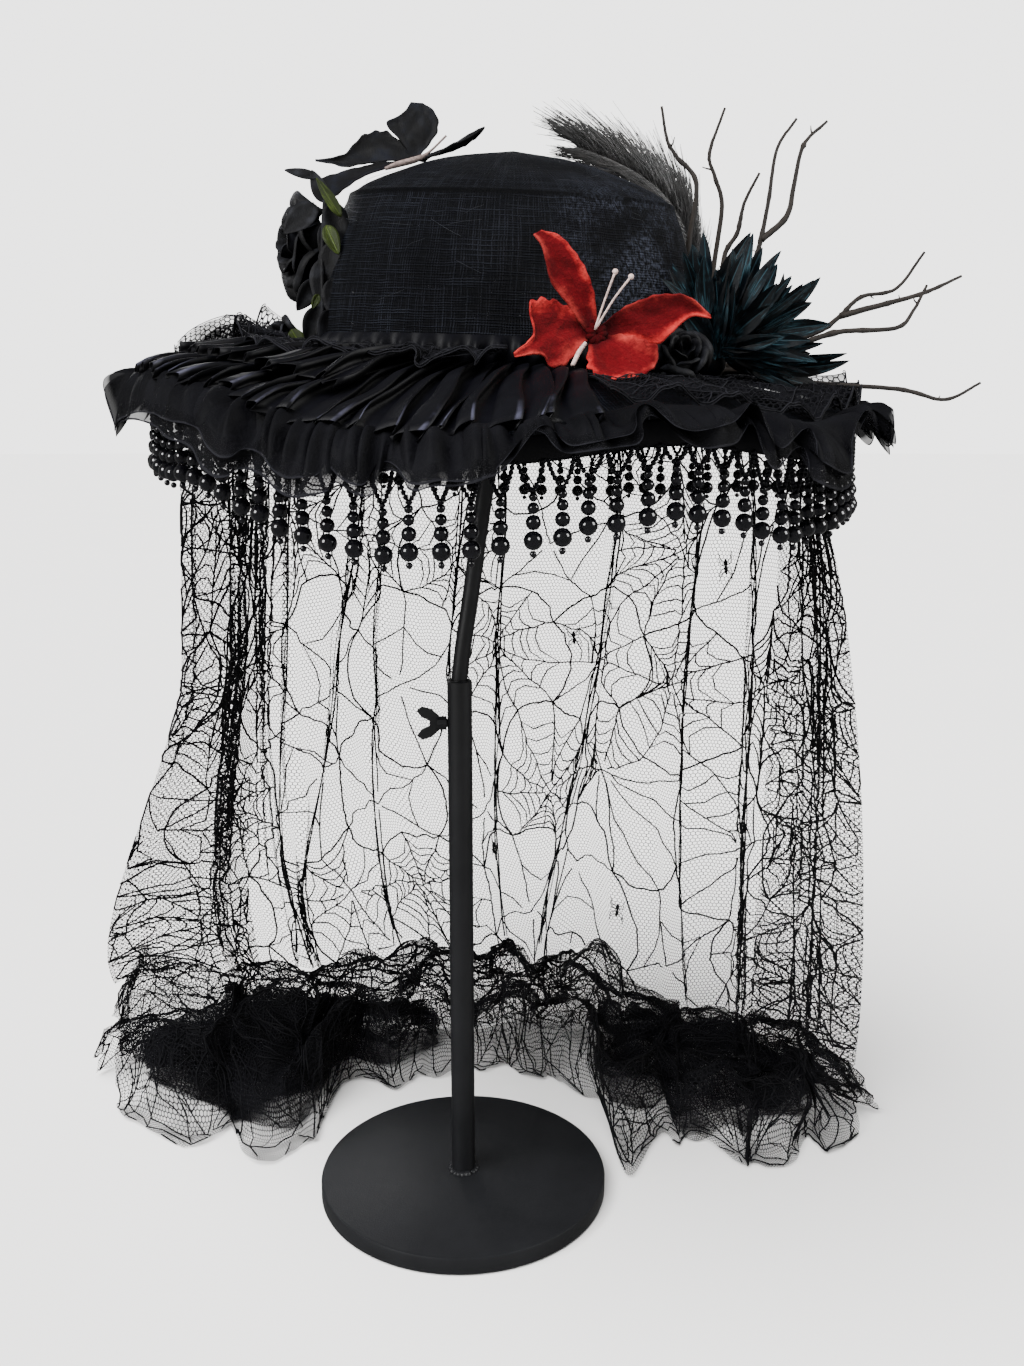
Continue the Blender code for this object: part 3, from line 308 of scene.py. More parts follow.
class Finish:
    """A procedural material while its nodes are put together."""

    def __init__(self, name):
        self.material = bpy.data.materials.new(name)
        self.material.use_nodes = True
        self.tree = self.material.node_tree
        self.tree.nodes.clear()

    def node(self, kind, settings=None, inputs=None, output=0):
        """A node with its settings and inputs, as a wire from one of its outputs."""
        made = self.tree.nodes.new(kind)
        for name, value in (settings or {}).items():
            setattr(made, name, value)
        for name, value in (inputs or {}).items():
            if isinstance(value, Wire):
                self.tree.links.new(value.socket, made.inputs[name])
            else:
                made.inputs[name].default_value = value
        return None if output is None else Wire(self, made.outputs[output])

    def place(self, scale=(1.0, 1.0, 1.0), turn=(0.0, 0.0, 0.0)):
        """Object coordinates, stretched and turned."""
        spot = self.node("ShaderNodeTexCoord", output=3)
        return self.node("ShaderNodeMapping", {}, {"Vector": spot, "Scale": scale, "Rotation": turn})

    def cloth(self, scale=(1.0, 1.0, 1.0)):
        """The piece's own flat coordinates, in metres of cloth."""
        spot = self.node("ShaderNodeUVMap", {"uv_map": "cloth"})
        return self.node("ShaderNodeMapping", {}, {"Vector": spot, "Scale": scale})

    def apart(self, vector):
        """The x and y of a vector, each as a wire."""
        split = self.node("ShaderNodeSeparateXYZ", {}, {"Vector": vector})
        return split, Wire(self, split.socket.node.outputs[1])

    def grain(self, vector, scale, detail=2.0, rough=0.5, distortion=0.0):
        """Noise over these coordinates."""
        inputs = {"Vector": vector, "Scale": scale, "Detail": detail}
        inputs.update({"Roughness": rough, "Distortion": distortion})
        return self.node("ShaderNodeTexNoise", {}, inputs)

    def speckle(self, scale, detail=2.0, rough=0.5, distortion=0.0):
        """Noise over the object's own coordinates."""
        return self.grain(self.place(), scale, detail, rough, distortion)

    def blend(self, share, first, second):
        """A colour between two, by a wire."""
        return self.node("ShaderNodeMix", {"data_type": "RGBA"}, {0: share, 6: first, 7: second}, 2)

    def tones(self, share, colour, low, high):
        """A colour that goes from darker to lighter by a wire."""
        return self.blend(share, shade(colour, low), shade(colour, high))

    def bump(self, height, strength, distance):
        """A relief for the shader."""
        inputs = {"Height": height, "Strength": strength, "Distance": distance}
        return self.node("ShaderNodeBump", {}, inputs)

    def surface(self, **sockets):
        """The shader, its sockets named in small letters, joined to the output."""
        named = {}
        for name, value in sockets.items():
            named[name.replace("_", " ").title().replace("Ior", "IOR")] = value
        shader = self.node("ShaderNodeBsdfPrincipled", {}, named)
        self.node("ShaderNodeOutputMaterial", {}, {"Surface": shader}, None)
        return self.material

    def coat(self, tint, rough, relief, gloss, **more):
        """A usual surface. Its relief is the height, strength and distance of a bump."""
        more.update(base_color=tint, roughness=rough, specular_ior_level=gloss)
        return self.surface(normal=self.bump(*relief), **more)


def shade(colour, factor=1.0):
    """A colour property as the four numbers of a socket, lighter or darker."""
    return (*(channel * factor for channel in colour[:3]), 1.0)


# Shapes


def table(rows):
    """Rows of numbers as an array."""
    return np.array(rows, float)


def stacked(x, y, z):
    """Arrays of coordinates as one array of places."""
    return np.stack(np.broadcast_arrays(x, y, z), -1)


def smooth_route(points, per_span=8):
    """Points on a smooth curve through the given ones."""
    knots = np.asarray(points, float)
    ends = np.vstack((2 * knots[0] - knots[1], knots, 2 * knots[-1] - knots[-2]))
    steps = np.arange(per_span)[:, None] / per_span
    spans = []
    for a, b, c, d in zip(ends, ends[1:], ends[2:], ends[3:]):
        cubic = 2 * b + (c - a) * steps + (2 * a - 5 * b + 4 * c - d) * steps**2
        spans.append(0.5 * (cubic + (3 * b - a - 3 * c + d) * steps**3))
    return np.vstack((*spans, knots[-1:]))


def to_mesh(name, bm):
    """A mesh from what was put together in bmesh."""
    mesh = bpy.data.meshes.new(name)
    bm.to_mesh(mesh)
    bm.free()
    return mesh


def put(name, data):
    """A new object of some data, linked to the scene."""
    made = bpy.data.objects.new(name, data)
    bpy.context.scene.collection.objects.link(made)
    return made


def add_piece(name, mesh, material, smooth_angle=None):
    """Put a finished mesh in the scene, on the only body."""
    mesh.name = name
    mesh.materials.clear()
    mesh.materials.append(material)
    piece = put(name, mesh)
    mesh.shade_smooth()
    if smooth_angle is not None:
        mesh.set_sharp_from_angle(angle=math.radians(smooth_angle))
    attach(piece, "root")
    return piece


def thicken(piece, thickness, offset=0.0):
    """Give a piece's sheet a wall."""
    wall = piece.modifiers.new("wall", "SOLIDIFY")
    wall.thickness = thickness
    wall.offset = offset
    return piece


def grid_shares(columns, rows):
    """The shares across and along a grid, from 0 to 1, ready to be used together."""
    return np.linspace(0.0, 1.0, columns + 1)[None, :], np.linspace(0.0, 1.0, rows + 1)[:, None]


def remap(mesh, change):
    """Change the coordinates of a mesh's cloth map, given as rows of u and v."""
    cloth = mesh.uv_layers["cloth"].data
    flats = np.empty(len(cloth) * 2)
    cloth.foreach_get("uv", flats)
    cloth.foreach_set("uv", change(flats.reshape(-1, 2)).ravel())


def laid_grid(name, places, flat, closed=False):
    """A grid mesh laid on an array of places (rows, columns, x y z), with its cloth map in metres."""
    rows, columns = places.shape[0] - 1, places.shape[1] - 1
    bm = bmesh.new()
    bm.loops.layers.uv.new("cloth")
    bmesh.ops.create_grid(bm, x_segments=columns, y_segments=rows, size=0.5, calc_uvs=True)
    mesh = to_mesh(name, bm)
    spots = np.empty(len(mesh.vertices) * 3)
    mesh.vertices.foreach_get("co", spots)
    column = np.rint((spots[0::3] + 0.5) * columns).astype(int)
    row = np.rint((spots[1::3] + 0.5) * rows).astype(int)
    mesh.vertices.foreach_set("co", places[row, column].ravel())
    remap(mesh, lambda flats: flats * flat)
    if closed:
        weld(mesh)
    mesh.update()
    return mesh


def turned_grid(name, places):
    """A grid for a leaf or wing, whose map runs from 0 to 1 with u along it."""
    mesh = laid_grid(name, places, (1.0, 1.0))
    remap(mesh, lambda flats: flats[:, ::-1])
    return mesh


def weld(mesh):
    """Merge corners that lie on each other and turn the faces outward."""
    bm = bmesh.new()
    bm.from_mesh(mesh)
    bmesh.ops.remove_doubles(bm, verts=bm.verts, dist=WELD_REACH)
    bmesh.ops.recalc_face_normals(bm, faces=bm.faces)
    bm.to_mesh(mesh)
    bm.free()


def joined(name, meshes):
    """Several meshes as one."""
    bm = bmesh.new()
    for mesh in meshes:
        bm.from_mesh(mesh)
        bpy.data.meshes.remove(mesh)
    return to_mesh(name, bm)


def ring_profile(sides):
    """A cyclic curve of a few points, which threads take as their section."""
    curve = bpy.data.curves.new("section", "CURVE")
    spline = curve.splines.new("POLY")
    spline.points.add(sides - 1)
    for index, point in enumerate(spline.points):
        angle = TAU * index / sides
        point.co = (math.cos(angle), math.sin(angle), 0.0, 1.0)
    spline.use_cyclic_u = True
    return put("section", curve)


def strands(name, routes, sides=3):
    """Threads along routes of points, each with one radius or one for each point, as one mesh."""
    section = ring_profile(sides)
    curve = bpy.data.curves.new(name, "CURVE")
    curve.dimensions = "3D"
    curve.bevel_mode = "OBJECT"
    curve.bevel_object = section
    curve.use_fill_caps = True
    for points, radius in routes:
        spline = curve.splines.new("POLY")
        spline.points.add(len(points) - 1)
        places = np.ones((len(points), 4))
        places[:, :3] = points
        spline.points.foreach_set("co", places.ravel())
        spline.points.foreach_set("radius", np.broadcast_to(radius, len(points)).astype(float))
    holder = put(name, curve)
    bpy.context.view_layer.update()
    found = holder.evaluated_get(bpy.context.evaluated_depsgraph_get())
    mesh = bpy.data.meshes.new_from_object(found)
    for old in (holder, section):
        bpy.data.objects.remove(old, do_unlink=True)
    weld(mesh)
    return mesh


def repeated(name, pattern, matrices):
    """One mesh of a small mesh set down at each matrix."""
    count = len(pattern.vertices)
    spots = np.empty(count * 3)
    pattern.vertices.foreach_get("co", spots)
    spots = spots.reshape(-1, 3)
    faces = [tuple(face.vertices) for face in pattern.polygons]
    turns = np.array([np.array(matrix) for matrix in matrices])
    places = np.einsum("nij,vj->nvi", turns[:, :3, :3], spots) + turns[:, None, :3, 3]
    every = []
    for index in range(len(turns)):
        every += [tuple(count * index + corner for corner in face) for face in faces]
    mesh = bpy.data.meshes.new(name)
    mesh.from_pydata(places.reshape(-1, 3).tolist(), [], every)
    bpy.data.meshes.remove(pattern)
    mesh.update()
    return mesh


def ball(segments, rings):
    """A ball of radius 1 whose poles lie up and down."""
    bm = bmesh.new()
    bmesh.ops.create_uvsphere(bm, u_segments=segments, v_segments=rings, radius=1.0)
    return to_mesh("ball", bm)


def turned(name, profile, steps):
    """Spin a closed profile of (radius, height) that starts and ends on the axis."""
    bm = bmesh.new()
    verts = [bm.verts.new((radius, 0.0, height)) for radius, height in profile]
    edges = [bm.edges.new(pair) for pair in zip(verts, verts[1:])]
    bmesh.ops.spin(
        bm,
        geom=verts + edges,
        cent=(0, 0, 0),
        axis=(0, 0, 1),
        angle=TAU,
        steps=steps,
        use_merge=True,
        use_duplicate=False,
    )
    bmesh.ops.remove_doubles(bm, verts=bm.verts, dist=WELD_REACH)
    bmesh.ops.recalc_face_normals(bm, faces=bm.faces)
    return to_mesh(name, bm)


def ridges(across, along, seed, harmonics=4):
    """An uneven wave over two arrays, about -1 to 1, made of slanted sines."""
    dice = np.random.default_rng(seed)
    total = 0.0
    for level in range(harmonics):
        pace = 1.0 + level * 0.83
        slant, shift = dice.uniform(-0.8, 0.8), dice.uniform(0.0, TAU)
        swing = np.sin(along * 0.7 * pace + shift)
        total = total + np.sin(pace * (across + slant * along) + shift + swing) / pace
    return total / 1.9


# Places on the hat

HAT_TURN = np.array(Matrix.Rotation(HAT_TILT, 3, "Y") @ Matrix.Rotation(HAT_NOD, 3, "X"))
HAT_SEAT = np.array((HAT_X, 0.0, HAT_Z))


def hat_point(radius, azimuth, height):
    """Places on the hat, tipped with it and set on the stand."""
    return stacked(radius * np.sin(azimuth), -radius * np.cos(azimuth), height) @ HAT_TURN.T + HAT_SEAT


def brim_height(radius, azimuth):
    """Middle of the brim's wall."""
    outs, falls, bends = table(BRIM_SECTION).T
    fall = np.interp(radius, outs, falls)
    bend = np.interp(radius, outs, bends)
    front = np.cos(azimuth)
    droop = np.where(front > 0, BRIM_FRONT_DROP, BRIM_BACK_DROP)
    degrees = (np.degrees(azimuth) + 180.0) % 360.0 - 180.0
    wave = sum(rise * np.exp(-(((degrees - centre) / half) ** 2)) for centre, rise, half in EDGE_WAVES)
    reach = np.clip((radius - 0.112) / 0.062, 0.0, 1.0)
    return -fall * (BRIM_DROP + BRIM_SLANT * np.sin(azimuth)) - bend * droop * front**2 + wave * reach


def on_brim(radius, azimuth, lift):
    """Places over the brim's upper side."""
    return hat_point(radius, azimuth, brim_height(radius, azimuth) + BRIM_WALL / 2 + lift)


def crown_point(radius, azimuth, height):
    """Places on the crown, whose top slopes down to the front."""
    back = -radius * np.cos(azimuth) / SEAM_RADIUS
    return hat_point(radius, azimuth, height + CROWN_SLOPE * back * height / SEAM_HEIGHT)


def turn_frame(root, along, across):
    """A place whose X runs along, whose Y runs across and whose Z is square to both."""
    turn = Matrix((along, across, along.cross(across))).transposed().to_4x4()
    return Matrix.Translation(root) @ turn


def wing_frame(root, angle, lean=0.0, roll=0.0):
    """A wing's or leaf's place: its axis in the front view, its lean to the front and its roll."""
    angle, lean, roll = (math.radians(value) for value in (angle, lean, roll))
    along = Vector((math.cos(angle) * math.cos(lean), -math.sin(lean), math.sin(angle) * math.cos(lean)))
    across = Vector((-math.sin(angle), 0.0, math.cos(angle)))
    across = (across - along * across.dot(along)).normalized()
    return turn_frame(Vector(root), along, Matrix.Rotation(roll, 3, along) @ across)


def set_down(places, matrix):
    """Move an array of places by a matrix."""
    turn = np.array(matrix)
    return places @ turn[:3, :3].T + turn[:3, 3]


# Sizes and colours that a user may change


def length(name, description, default):
    """A length property of the add-on."""
    return bpy.props.FloatProperty(
        name=name, description=description, default=default, unit="LENGTH", precision=5
    )


def colour(name, description, default):
    """A colour property of the add-on."""
    return bpy.props.FloatVectorProperty(
        name=name, description=description, default=default, subtype="COLOR", size=3, min=0.0, max=1.0
    )


class BonnetSizes(bpy.types.PropertyGroup):
    """Sizes of the trimmings."""

    drops: bpy.props.IntProperty(name="Drops", description="Bead drops round the brim", default=94, min=3)
    seed_bead: length("Seed bead", "Diameter of a seed bead", 0.0020)
    big_bead: length("Big bead", "Diameter of the largest bead of a drop", 0.0076)
    straw_pitch: length("Straw pitch", "Distance between two straw threads", 0.0012)
    net_pitch: length("Net pitch", "Distance between two holes of the veil's net", 0.0025)
    coarse_pitch: length("Coarse pitch", "Distance between two holes of the frills' net", 0.0028)
    lace_thread: length("Lace thread", "Thickness of the veil's web threads", 0.00120)
    veil_width: length("Veil width", "Width of the veil's cloth before it is gathered", 0.90)
    web_cell: length("Web cell", "Distance between two webs of the lace", 0.097)


class BonnetColours(bpy.types.PropertyGroup):
    """Colours of the materials."""

    metal: colour("Metal", "Painted metal of the stand", (0.0055, 0.0057, 0.0065))
    straw: colour("Straw", "Dark straw threads", (0.0009, 0.0010, 0.0016))
    straw_glint: colour("Straw glint", "Straw threads that catch the light", (0.0115, 0.0130, 0.0185))
    satin: colour("Satin", "Satin of the band and pleats", (0.0016, 0.0016, 0.0024))
    net: colour("Net", "Net and lace threads", (0.0022, 0.0022, 0.0028))
    organza: colour("Organza", "Sheer organza of the edge ruffle", (0.0024, 0.0024, 0.0030))
    bead: colour("Bead", "Glossy beads", (0.003, 0.003, 0.004))
    crimson: colour("Crimson", "Deep red of the velvet wings", (0.070, 0.0012, 0.0030))
    ember: colour("Ember", "Bright orange red at the wings' edges", (0.27, 0.0060, 0.0085))
    stamen: colour("Stamen", "Pale feelers and bodies", (0.62, 0.46, 0.42))
    silk: colour("Silk", "Black roses and the crown's butterfly", (0.0028, 0.0028, 0.0036))
    leaf: colour("Leaf", "Green rose leaves", (0.055, 0.085, 0.008))
    teal: colour("Teal", "Sheen on the leaf spray", (0.034, 0.095, 0.122))
    bark: colour("Bark", "Twigs", (0.018, 0.015, 0.013))
    plumage: colour("Plumage", "Lighter barbs of the plume", (0.014, 0.012, 0.011))
    floor: colour("Floor", "Pale studio floor", (0.80, 0.79, 0.78))


def sizes():
    """The sizes set in the panel."""
    return bpy.context.scene.bonnet_sizes


def colours():
    """The colours set in the panel."""
    return bpy.context.scene.bonnet_colours


# Materials


def painted_metal():
    """Black powder coat with fine grain."""
    finish = Finish("painted_metal")
    spot = finish.place()
    speck = finish.grain(spot, 1400.0, 2.0)
    wear = finish.grain(spot, 35.0, 3.0)
    tint = finish.tones(wear, colours().metal, 0.7, 1.5)
    return finish.coat(tint, 0.38 + 0.16 * wear, (speck, 0.25, 0.0003), 0.24)


def straw_weave(seam=None):
    """Two sets of uneven threads with small gaps. Past the seam, at this v, the dome's cloth starts."""
    finish = Finish("black_straw" if seam is None else "black_crown_straw")
    pitch = sizes().straw_pitch
    flat = finish.cloth()
    bend = finish.grain(flat, 60.0, 2.0) - 0.5
    across, along = finish.apart(flat)
    spot_x, spot_y = finish.apart(finish.place(turn=(0.0, 0.0, 0.5)))
    dark, side = 0.0, 0.0
    if seam is not None:
        dome = along.rise(seam - 0.0008, seam + 0.0008)
        dark = abs(along - seam).rise(0.0022, 0.0006) * 0.8
        across = across * (1.0 - dome) + spot_x * dome * 1.25
        along = along * (1.0 - dome) + spot_y * dome * 1.25
        # Painted sheen on the crown's right side, weaker on the dome.
        side = finish.apart(finish.place())[0].rise(0.030, 0.085) * (1.0 - dome * 0.5)
    across = across + bend * 0.0030
    along = along + bend * 0.0024
    warp = abs((across * (math.pi / pitch)).sine())
    weft = abs((along * (math.pi / pitch)).sine())
    warp_tone = finish.grain(finish.cloth((1.0 / pitch, 28.0, 1.0)), 1.0, 2.0)
    weft_tone = finish.grain(finish.cloth((34.0, 1.0 / pitch, 1.0)), 1.0, 2.0)
    patch = finish.speckle(34.0, 4.0, 0.65)
    crinkle = finish.grain(finish.cloth((700.0, 420.0, 1.0)), 1.0, 2.0, 0.6)
    warp_body = warp * warp_tone.rise(0.34, 0.60)
    weft_body = weft * weft_tone.rise(0.34, 0.60)
    thick = (warp_body**3.0).most(weft_body**3.0)
    # Painted highlight: the thick threads are laid in the lighter glint colour, in patches.
    glint = thick * (patch.rise(0.30, 0.70) * 0.8 + 0.2) * (1.0 - dark) * 0.75
    # Painted sheen: crinkled patches on the right side, in a still lighter glint colour.
    sheen = side * crinkle.rise(0.42, 0.62) * patch.rise(0.34, 0.60)
    tint = finish.blend(glint, shade(colours().straw), shade(colours().straw_glint))
    tint = finish.blend(sheen, tint, shade(colours().straw_glint, 2.6))
    gap = warp.rise(0.42, 0.18) * weft.rise(0.42, 0.18)
    return finish.coat(
        tint,
        (0.78 - 0.24 * glint).most(0.3),
        (warp_body + weft_body, 0.8, 0.0007),
        0.10,
        alpha=1.0 - 0.8 * gap,
    )


def satin(pleat=0.0):
    """Satin. With a pleat's width of cloth, each pleat's edge has a painted glint near its tip."""
    finish = Finish("black_pleated_satin" if pleat else "black_satin")
    thread = finish.grain(finish.cloth((2600.0, 260.0, 1.0)), 1.0, 1.0)
    cloud = finish.speckle(90.0, 3.0)
    tint = finish.tones(cloud, colours().satin, 0.5, 1.6)
    if pleat:
        across, along = finish.apart(finish.cloth((1.0 / pleat, 1.0, 1.0)))
        # Painted glint: near the tip each pleat's raised edge is laid in a far lighter satin colour.
        edge = abs(across % 1.0 - 0.78).rise(0.060, 0.01) * along.rise(0.062, 0.075)
        tint = finish.blend(edge * cloud.rise(0.36, 0.62), tint, shade(colours().satin, 24.0))
    return finish.coat(tint, 0.40 + 0.28 * cloud, (thread, 0.2, 0.0002), 0.12)


def net(name, pitch, thread, crush=0.0):
    """Hexagonal net on the cloth's own map: thread is its thickness as a share of the pitch."""
    finish = Finish(name)
    pull = finish.grain(finish.cloth(), 55.0, 2.0) - 0.5
    across, along = finish.apart(finish.cloth((1.0 / pitch, 1.0 / pitch, 1.0)))
    across = across + pull * 0.9
    along = along + pull * 0.7
    tall = math.sqrt(3.0)
    first_x, first_y = abs(across % 1.0 - 0.5), abs(along % tall - tall / 2)
    second_x = abs((across + 0.5) % 1.0 - 0.5)
    second_y = abs((along + tall / 2) % tall - tall / 2)
    first = first_x.most(first_x * 0.5 + first_y * (tall / 2))
    second = second_x.most(second_x * 0.5 + second_y * (tall / 2))
    rim = 0.5 - first.least(second)
    strand = rim.rise(thread, thread * 0.35)
    patch = finish.speckle(30.0, 4.0, 0.6)
    alpha = strand.most(crush * patch.rise(0.36, 0.62))
    tint = finish.tones(patch, colours().net, 0.5, 2.0)
    rough = 0.75 + 0.2 * patch
    return finish.surface(base_color=tint, roughness=rough, alpha=alpha, specular_ior_level=0.10)


def lace_thread(name="black_lace_thread", tone=1.0):
    """The soft black thread of the webs and threads."""
    finish = Finish(name)
    twist = finish.speckle(1800.0, 2.0)
    patch = finish.speckle(45.0, 2.0)
    tint = finish.tones(patch, colours().net, 0.6 * tone, 2.0 * tone)
    return finish.coat(tint, 0.60 + 0.3 * patch, (twist, 0.5, 0.0003), 0.12)


def organza():
    """Sheer cloth whose edge at v = 0 of its map is a rolled hem."""
    finish = Finish("black_organza")
    along = finish.apart(finish.cloth())[1]
    cloud = finish.speckle(55.0, 3.0)
    fine = finish.speckle(900.0, 2.0)
    crinkle = finish.speckle(190.0, 4.0, 0.62, 0.6)
    hem = along.rise(0.0010, 0.0004)
    soft = finish.tones(cloud.rise(0.3, 0.7), colours().organza, 0.8, 1.5)
    tint = finish.blend(hem, soft, shade(colours().organza, 3.0))
    return finish.coat(
        tint,
        0.55 + 0.25 * cloud,
        (crinkle + 0.2 * fine, 0.55, 0.0016),
        0.055,
        alpha=(0.76 + 0.16 * cloud + 0.24 * along.rise(0.0015, 0.007)).least(0.993).most(hem),
    )


def glossy_bead(name="glossy_black_bead", gloss=0.30, rough=0.04):
    """Black glass beads."""
    finish = Finish(name)
    patch = finish.speckle(320.0, 1.0)
    tint = finish.tones(patch, colours().bead, 0.4, 1.2)
    return finish.surface(base_color=tint, roughness=rough + 0.08 * patch, specular_ior_level=gloss)


def velvet():
    """Red velvet: u runs from root to tip of a wing, v across it, both from 0 to 1."""
    finish = Finish("red_velvet")
    along, across = finish.apart(finish.cloth())
    cloud = finish.speckle(70.0, 4.0, 0.58)
    fine = finish.speckle(620.0, 3.0, 0.7)
    low_edge = across.rise(0.42, 0.02)
    tip = along.rise(0.62, 1.0)
    ember = (low_edge * 0.80 + tip * 0.45 + (cloud - 0.5) * 2.2).rise(0.35, 1.15)
    vein = abs((across * 25.0 + 2.5 * along + (cloud - 0.5) * 5.0).sine()).rise(0.20, 0.02) * 0.55
    # Painted shade: the wing is darkened nearly to black towards its root at the body.
    root = along.rise(0.34, 0.02)
    red = finish.blend(ember, shade(colours().crimson), shade(colours().ember))
    red = finish.blend(vein, red, shade(colours().crimson, 0.3))
    # Painted sheen: pale pink flecks where the fine noise is high, more on the brighter red.
    painted_sheen_flecks = finish.blend(fine.rise(0.48, 0.78) * (0.08 + 0.26 * ember), red, (0.42, 0.040, 0.032, 1.0))
    shadow = finish.blend(cloud.rise(0.50, 0.28) * 0.70, painted_sheen_flecks, shade(colours().crimson, 0.45))
    # Partly the wings' own pale red tone and partly a painted highlight, towards both edges and the tip.
    edge = (0.5 - abs(across - 0.5)).rise(0.40, 0.0)
    coral_tone_and_rim_highlight = (edge * 0.60 + tip * 0.40 + (cloud - 0.5) * 2.2 + fine * 0.3).rise(0.40, 1.30) * 0.55
    bright = finish.blend(coral_tone_and_rim_highlight, shadow, (0.46, 0.050, 0.040, 1.0))
    # The painted shade at the root is laid over all the rest.
    tint = finish.blend(root * 0.95, bright, (0.006, 0.0006, 0.0014, 1.0))
    return finish.coat(
        tint,
        0.75 + 0.2 * fine,
        (fine + cloud * 0.8, 0.7, 0.0012),
        0.08,
        sheen_weight=0.05,
        sheen_roughness=0.5,
        sheen_tint=(1.0, 0.22, 0.18, 1.0),
    )


def wine_felt():
    """Dark red felt of the heart between the red wings."""
    finish = Finish("wine_felt")
    fine = finish.speckle(900.0, 2.0)
    tint = finish.tones(fine, colours().crimson, 0.15, 0.7)
    return finish.coat(tint, 0.75 + 0.2 * fine, (fine, 0.5, 0.0006), 0.08)


def silk(name, glint, glint_amount):
    """Black flower silk with a painted soft coloured shine in patches."""
    finish = Finish(name)
    cloud = finish.speckle(120.0, 3.0)
    fine = finish.speckle(1500.0, 2.0)
    # Painted shine: cloudy patches in the lighter glint colour.
    painted_shine = cloud.rise(0.45, 0.75) * glint_amount
    tint = finish.blend(painted_shine, shade(colours().silk, 0.7), glint)
    return finish.coat(tint, 0.55 + 0.3 * cloud, (fine + cloud, 0.35, 0.0006), 0.22)


def stamen(name="pale_stamen", tone=1.0):
    """The pale card of the butterflies' bodies and feelers, with fine fibres."""
    finish = Finish(name)
    fine = finish.speckle(700.0, 3.0)
    tint = finish.tones(fine.rise(0.3, 0.7), colours().stamen, 0.45 * tone, 0.9 * tone)
    relief = finish.bump(fine, 0.4, 0.0004)
    return finish.surface(base_color=tint, roughness=0.55 + 0.2 * fine, normal=relief)


def leaf(name, dark, light, streak):
    """A fabric leaf: u runs along it and v across it, both from 0 to 1."""
    finish = Finish(name)
    across = finish.apart(finish.cloth())[1]
    fibre = finish.grain(finish.cloth((2.0, 22.0, 1.0)), 1.0, 3.0, 0.6)
    patch = finish.speckle(70.0, 3.0, 0.6)
    midrib = abs(across - 0.5).rise(0.06, 0.015)
    # Painted shine: lighter colour in streaks along the fibres and on the midrib.
    shine = (fibre.rise(0.50, 0.66) * patch.rise(0.46, 0.60)).most(midrib * 0.35) * streak
    tint = finish.blend(shine, dark, light)
    return finish.coat(tint, 0.50 - 0.22 * shine, (fibre + midrib, 0.5, 0.0006), 0.22)


def bark():
    """The twigs' dark bark."""
    finish = Finish("twig_bark")
    spot = finish.place()
    lump = finish.grain(spot, 420.0, 4.0, 0.65)
    patch = finish.grain(spot, 60.0, 2.0)
    tint = finish.tones(lump * patch, colours().bark, 0.35, 2.4)
    return finish.coat(tint, 0.65 + 0.2 * lump, (lump, 0.4, 0.0006), 0.25)


def plumage():
    """The barbs of the plume."""
    finish = Finish("plume_barbs")
    spot = finish.place()
    streak = finish.grain(spot, 130.0, 3.0)
    patch = finish.grain(spot, 28.0, 2.0)
    light = streak.rise(0.35, 0.7) * patch.rise(0.3, 0.62)
    tint = finish.tones(light, colours().plumage, 0.14, 1.0)
    return finish.surface(base_color=tint, roughness=0.75 + 0.15 * streak, sheen_weight=0.2)


def floor_paper():
    """The pale floor."""
    finish = Finish("pale_floor")
    cloud = finish.speckle(3.0, 3.0)
    tint = finish.tones(cloud, colours().floor, 0.985, 1.015)
    return finish.surface(base_color=tint, roughness=0.85 + 0.1 * cloud, specular_ior_level=0.0)


# Stand


def make_stand():
    """The disc with its welded tube, the bent rod with its hidden plate, and the wing screw."""
    metal = painted_metal()
    disc = [
        (0.0, DISC_THICKNESS),
        (DISC_RADIUS - DISC_EDGE, DISC_THICKNESS),
        (DISC_RADIUS - DISC_EDGE * 0.3, DISC_THICKNESS - DISC_EDGE * 0.3),
        (DISC_RADIUS, DISC_THICKNESS - DISC_EDGE),
        (DISC_RADIUS, DISC_EDGE),
        (DISC_RADIUS - DISC_EDGE, 0.0),
        (0.0, 0.0),
    ]
    tube = [
        (0.0, DISC_THICKNESS - 0.001),
        (TUBE_RADIUS, DISC_THICKNESS - 0.001),
        (TUBE_RADIUS, TUBE_TOP - 0.0006),
        (TUBE_RADIUS - 0.0006, TUBE_TOP),
        (TUBE_BORE, TUBE_TOP),
        (TUBE_BORE, TUBE_BORE_FOOT),
        (0.0, TUBE_BORE_FOOT),
    ]
    dice = np.random.default_rng(11)
    beads = []
    for index in range(WELD_BEADS):
        angle = TAU * index / WELD_BEADS + dice.uniform(-0.1, 0.1)
        size = dice.uniform(0.0017, 0.0026)
        spot = Vector((math.cos(angle), math.sin(angle), 0.0)) * (TUBE_RADIUS + 0.0003)
        spot.z = DISC_THICKNESS + 0.0002
        beads.append(Matrix.Translation(spot) @ Matrix.Diagonal((size, size, size * 0.75, 1.0)))
    weld_beads = repeated("weld", ball(10, 6), beads)
    base = joined("stand_base_round", [turned("disc", disc, 128), turned("tube", tube, 48), weld_beads])
    piece = add_piece("stand_base_round", base, metal, 35.0)
    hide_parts("stand_base")
    top = crown_point(0.0, 0.0, 0.0965)
    route = [(x, 0.0, z) for x, z in ROD_ROUTE]
    bends = np.vstack((route[:1], smooth_route([*route[1:], tuple(top)], 8)))
    rod = strands("rod", [(bends, ROD_RADIUS)], 24)
    plate = turned("plate", HEAD_PLATE, 48)
    seat = Matrix.Translation(Vector(top) - Vector((0, 0, HEAD_PLATE_DROP)))
    plate.transform(seat @ Matrix(HAT_TURN.tolist()).to_4x4())
    piece = add_piece("stand_rod_round", joined("rod", [rod, plate]), metal, 35.0)
    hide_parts("stand_rod")
    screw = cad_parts["stand_wing_screw"]
    screw.data.materials.clear()
    screw.data.materials.append(metal)


# Straw


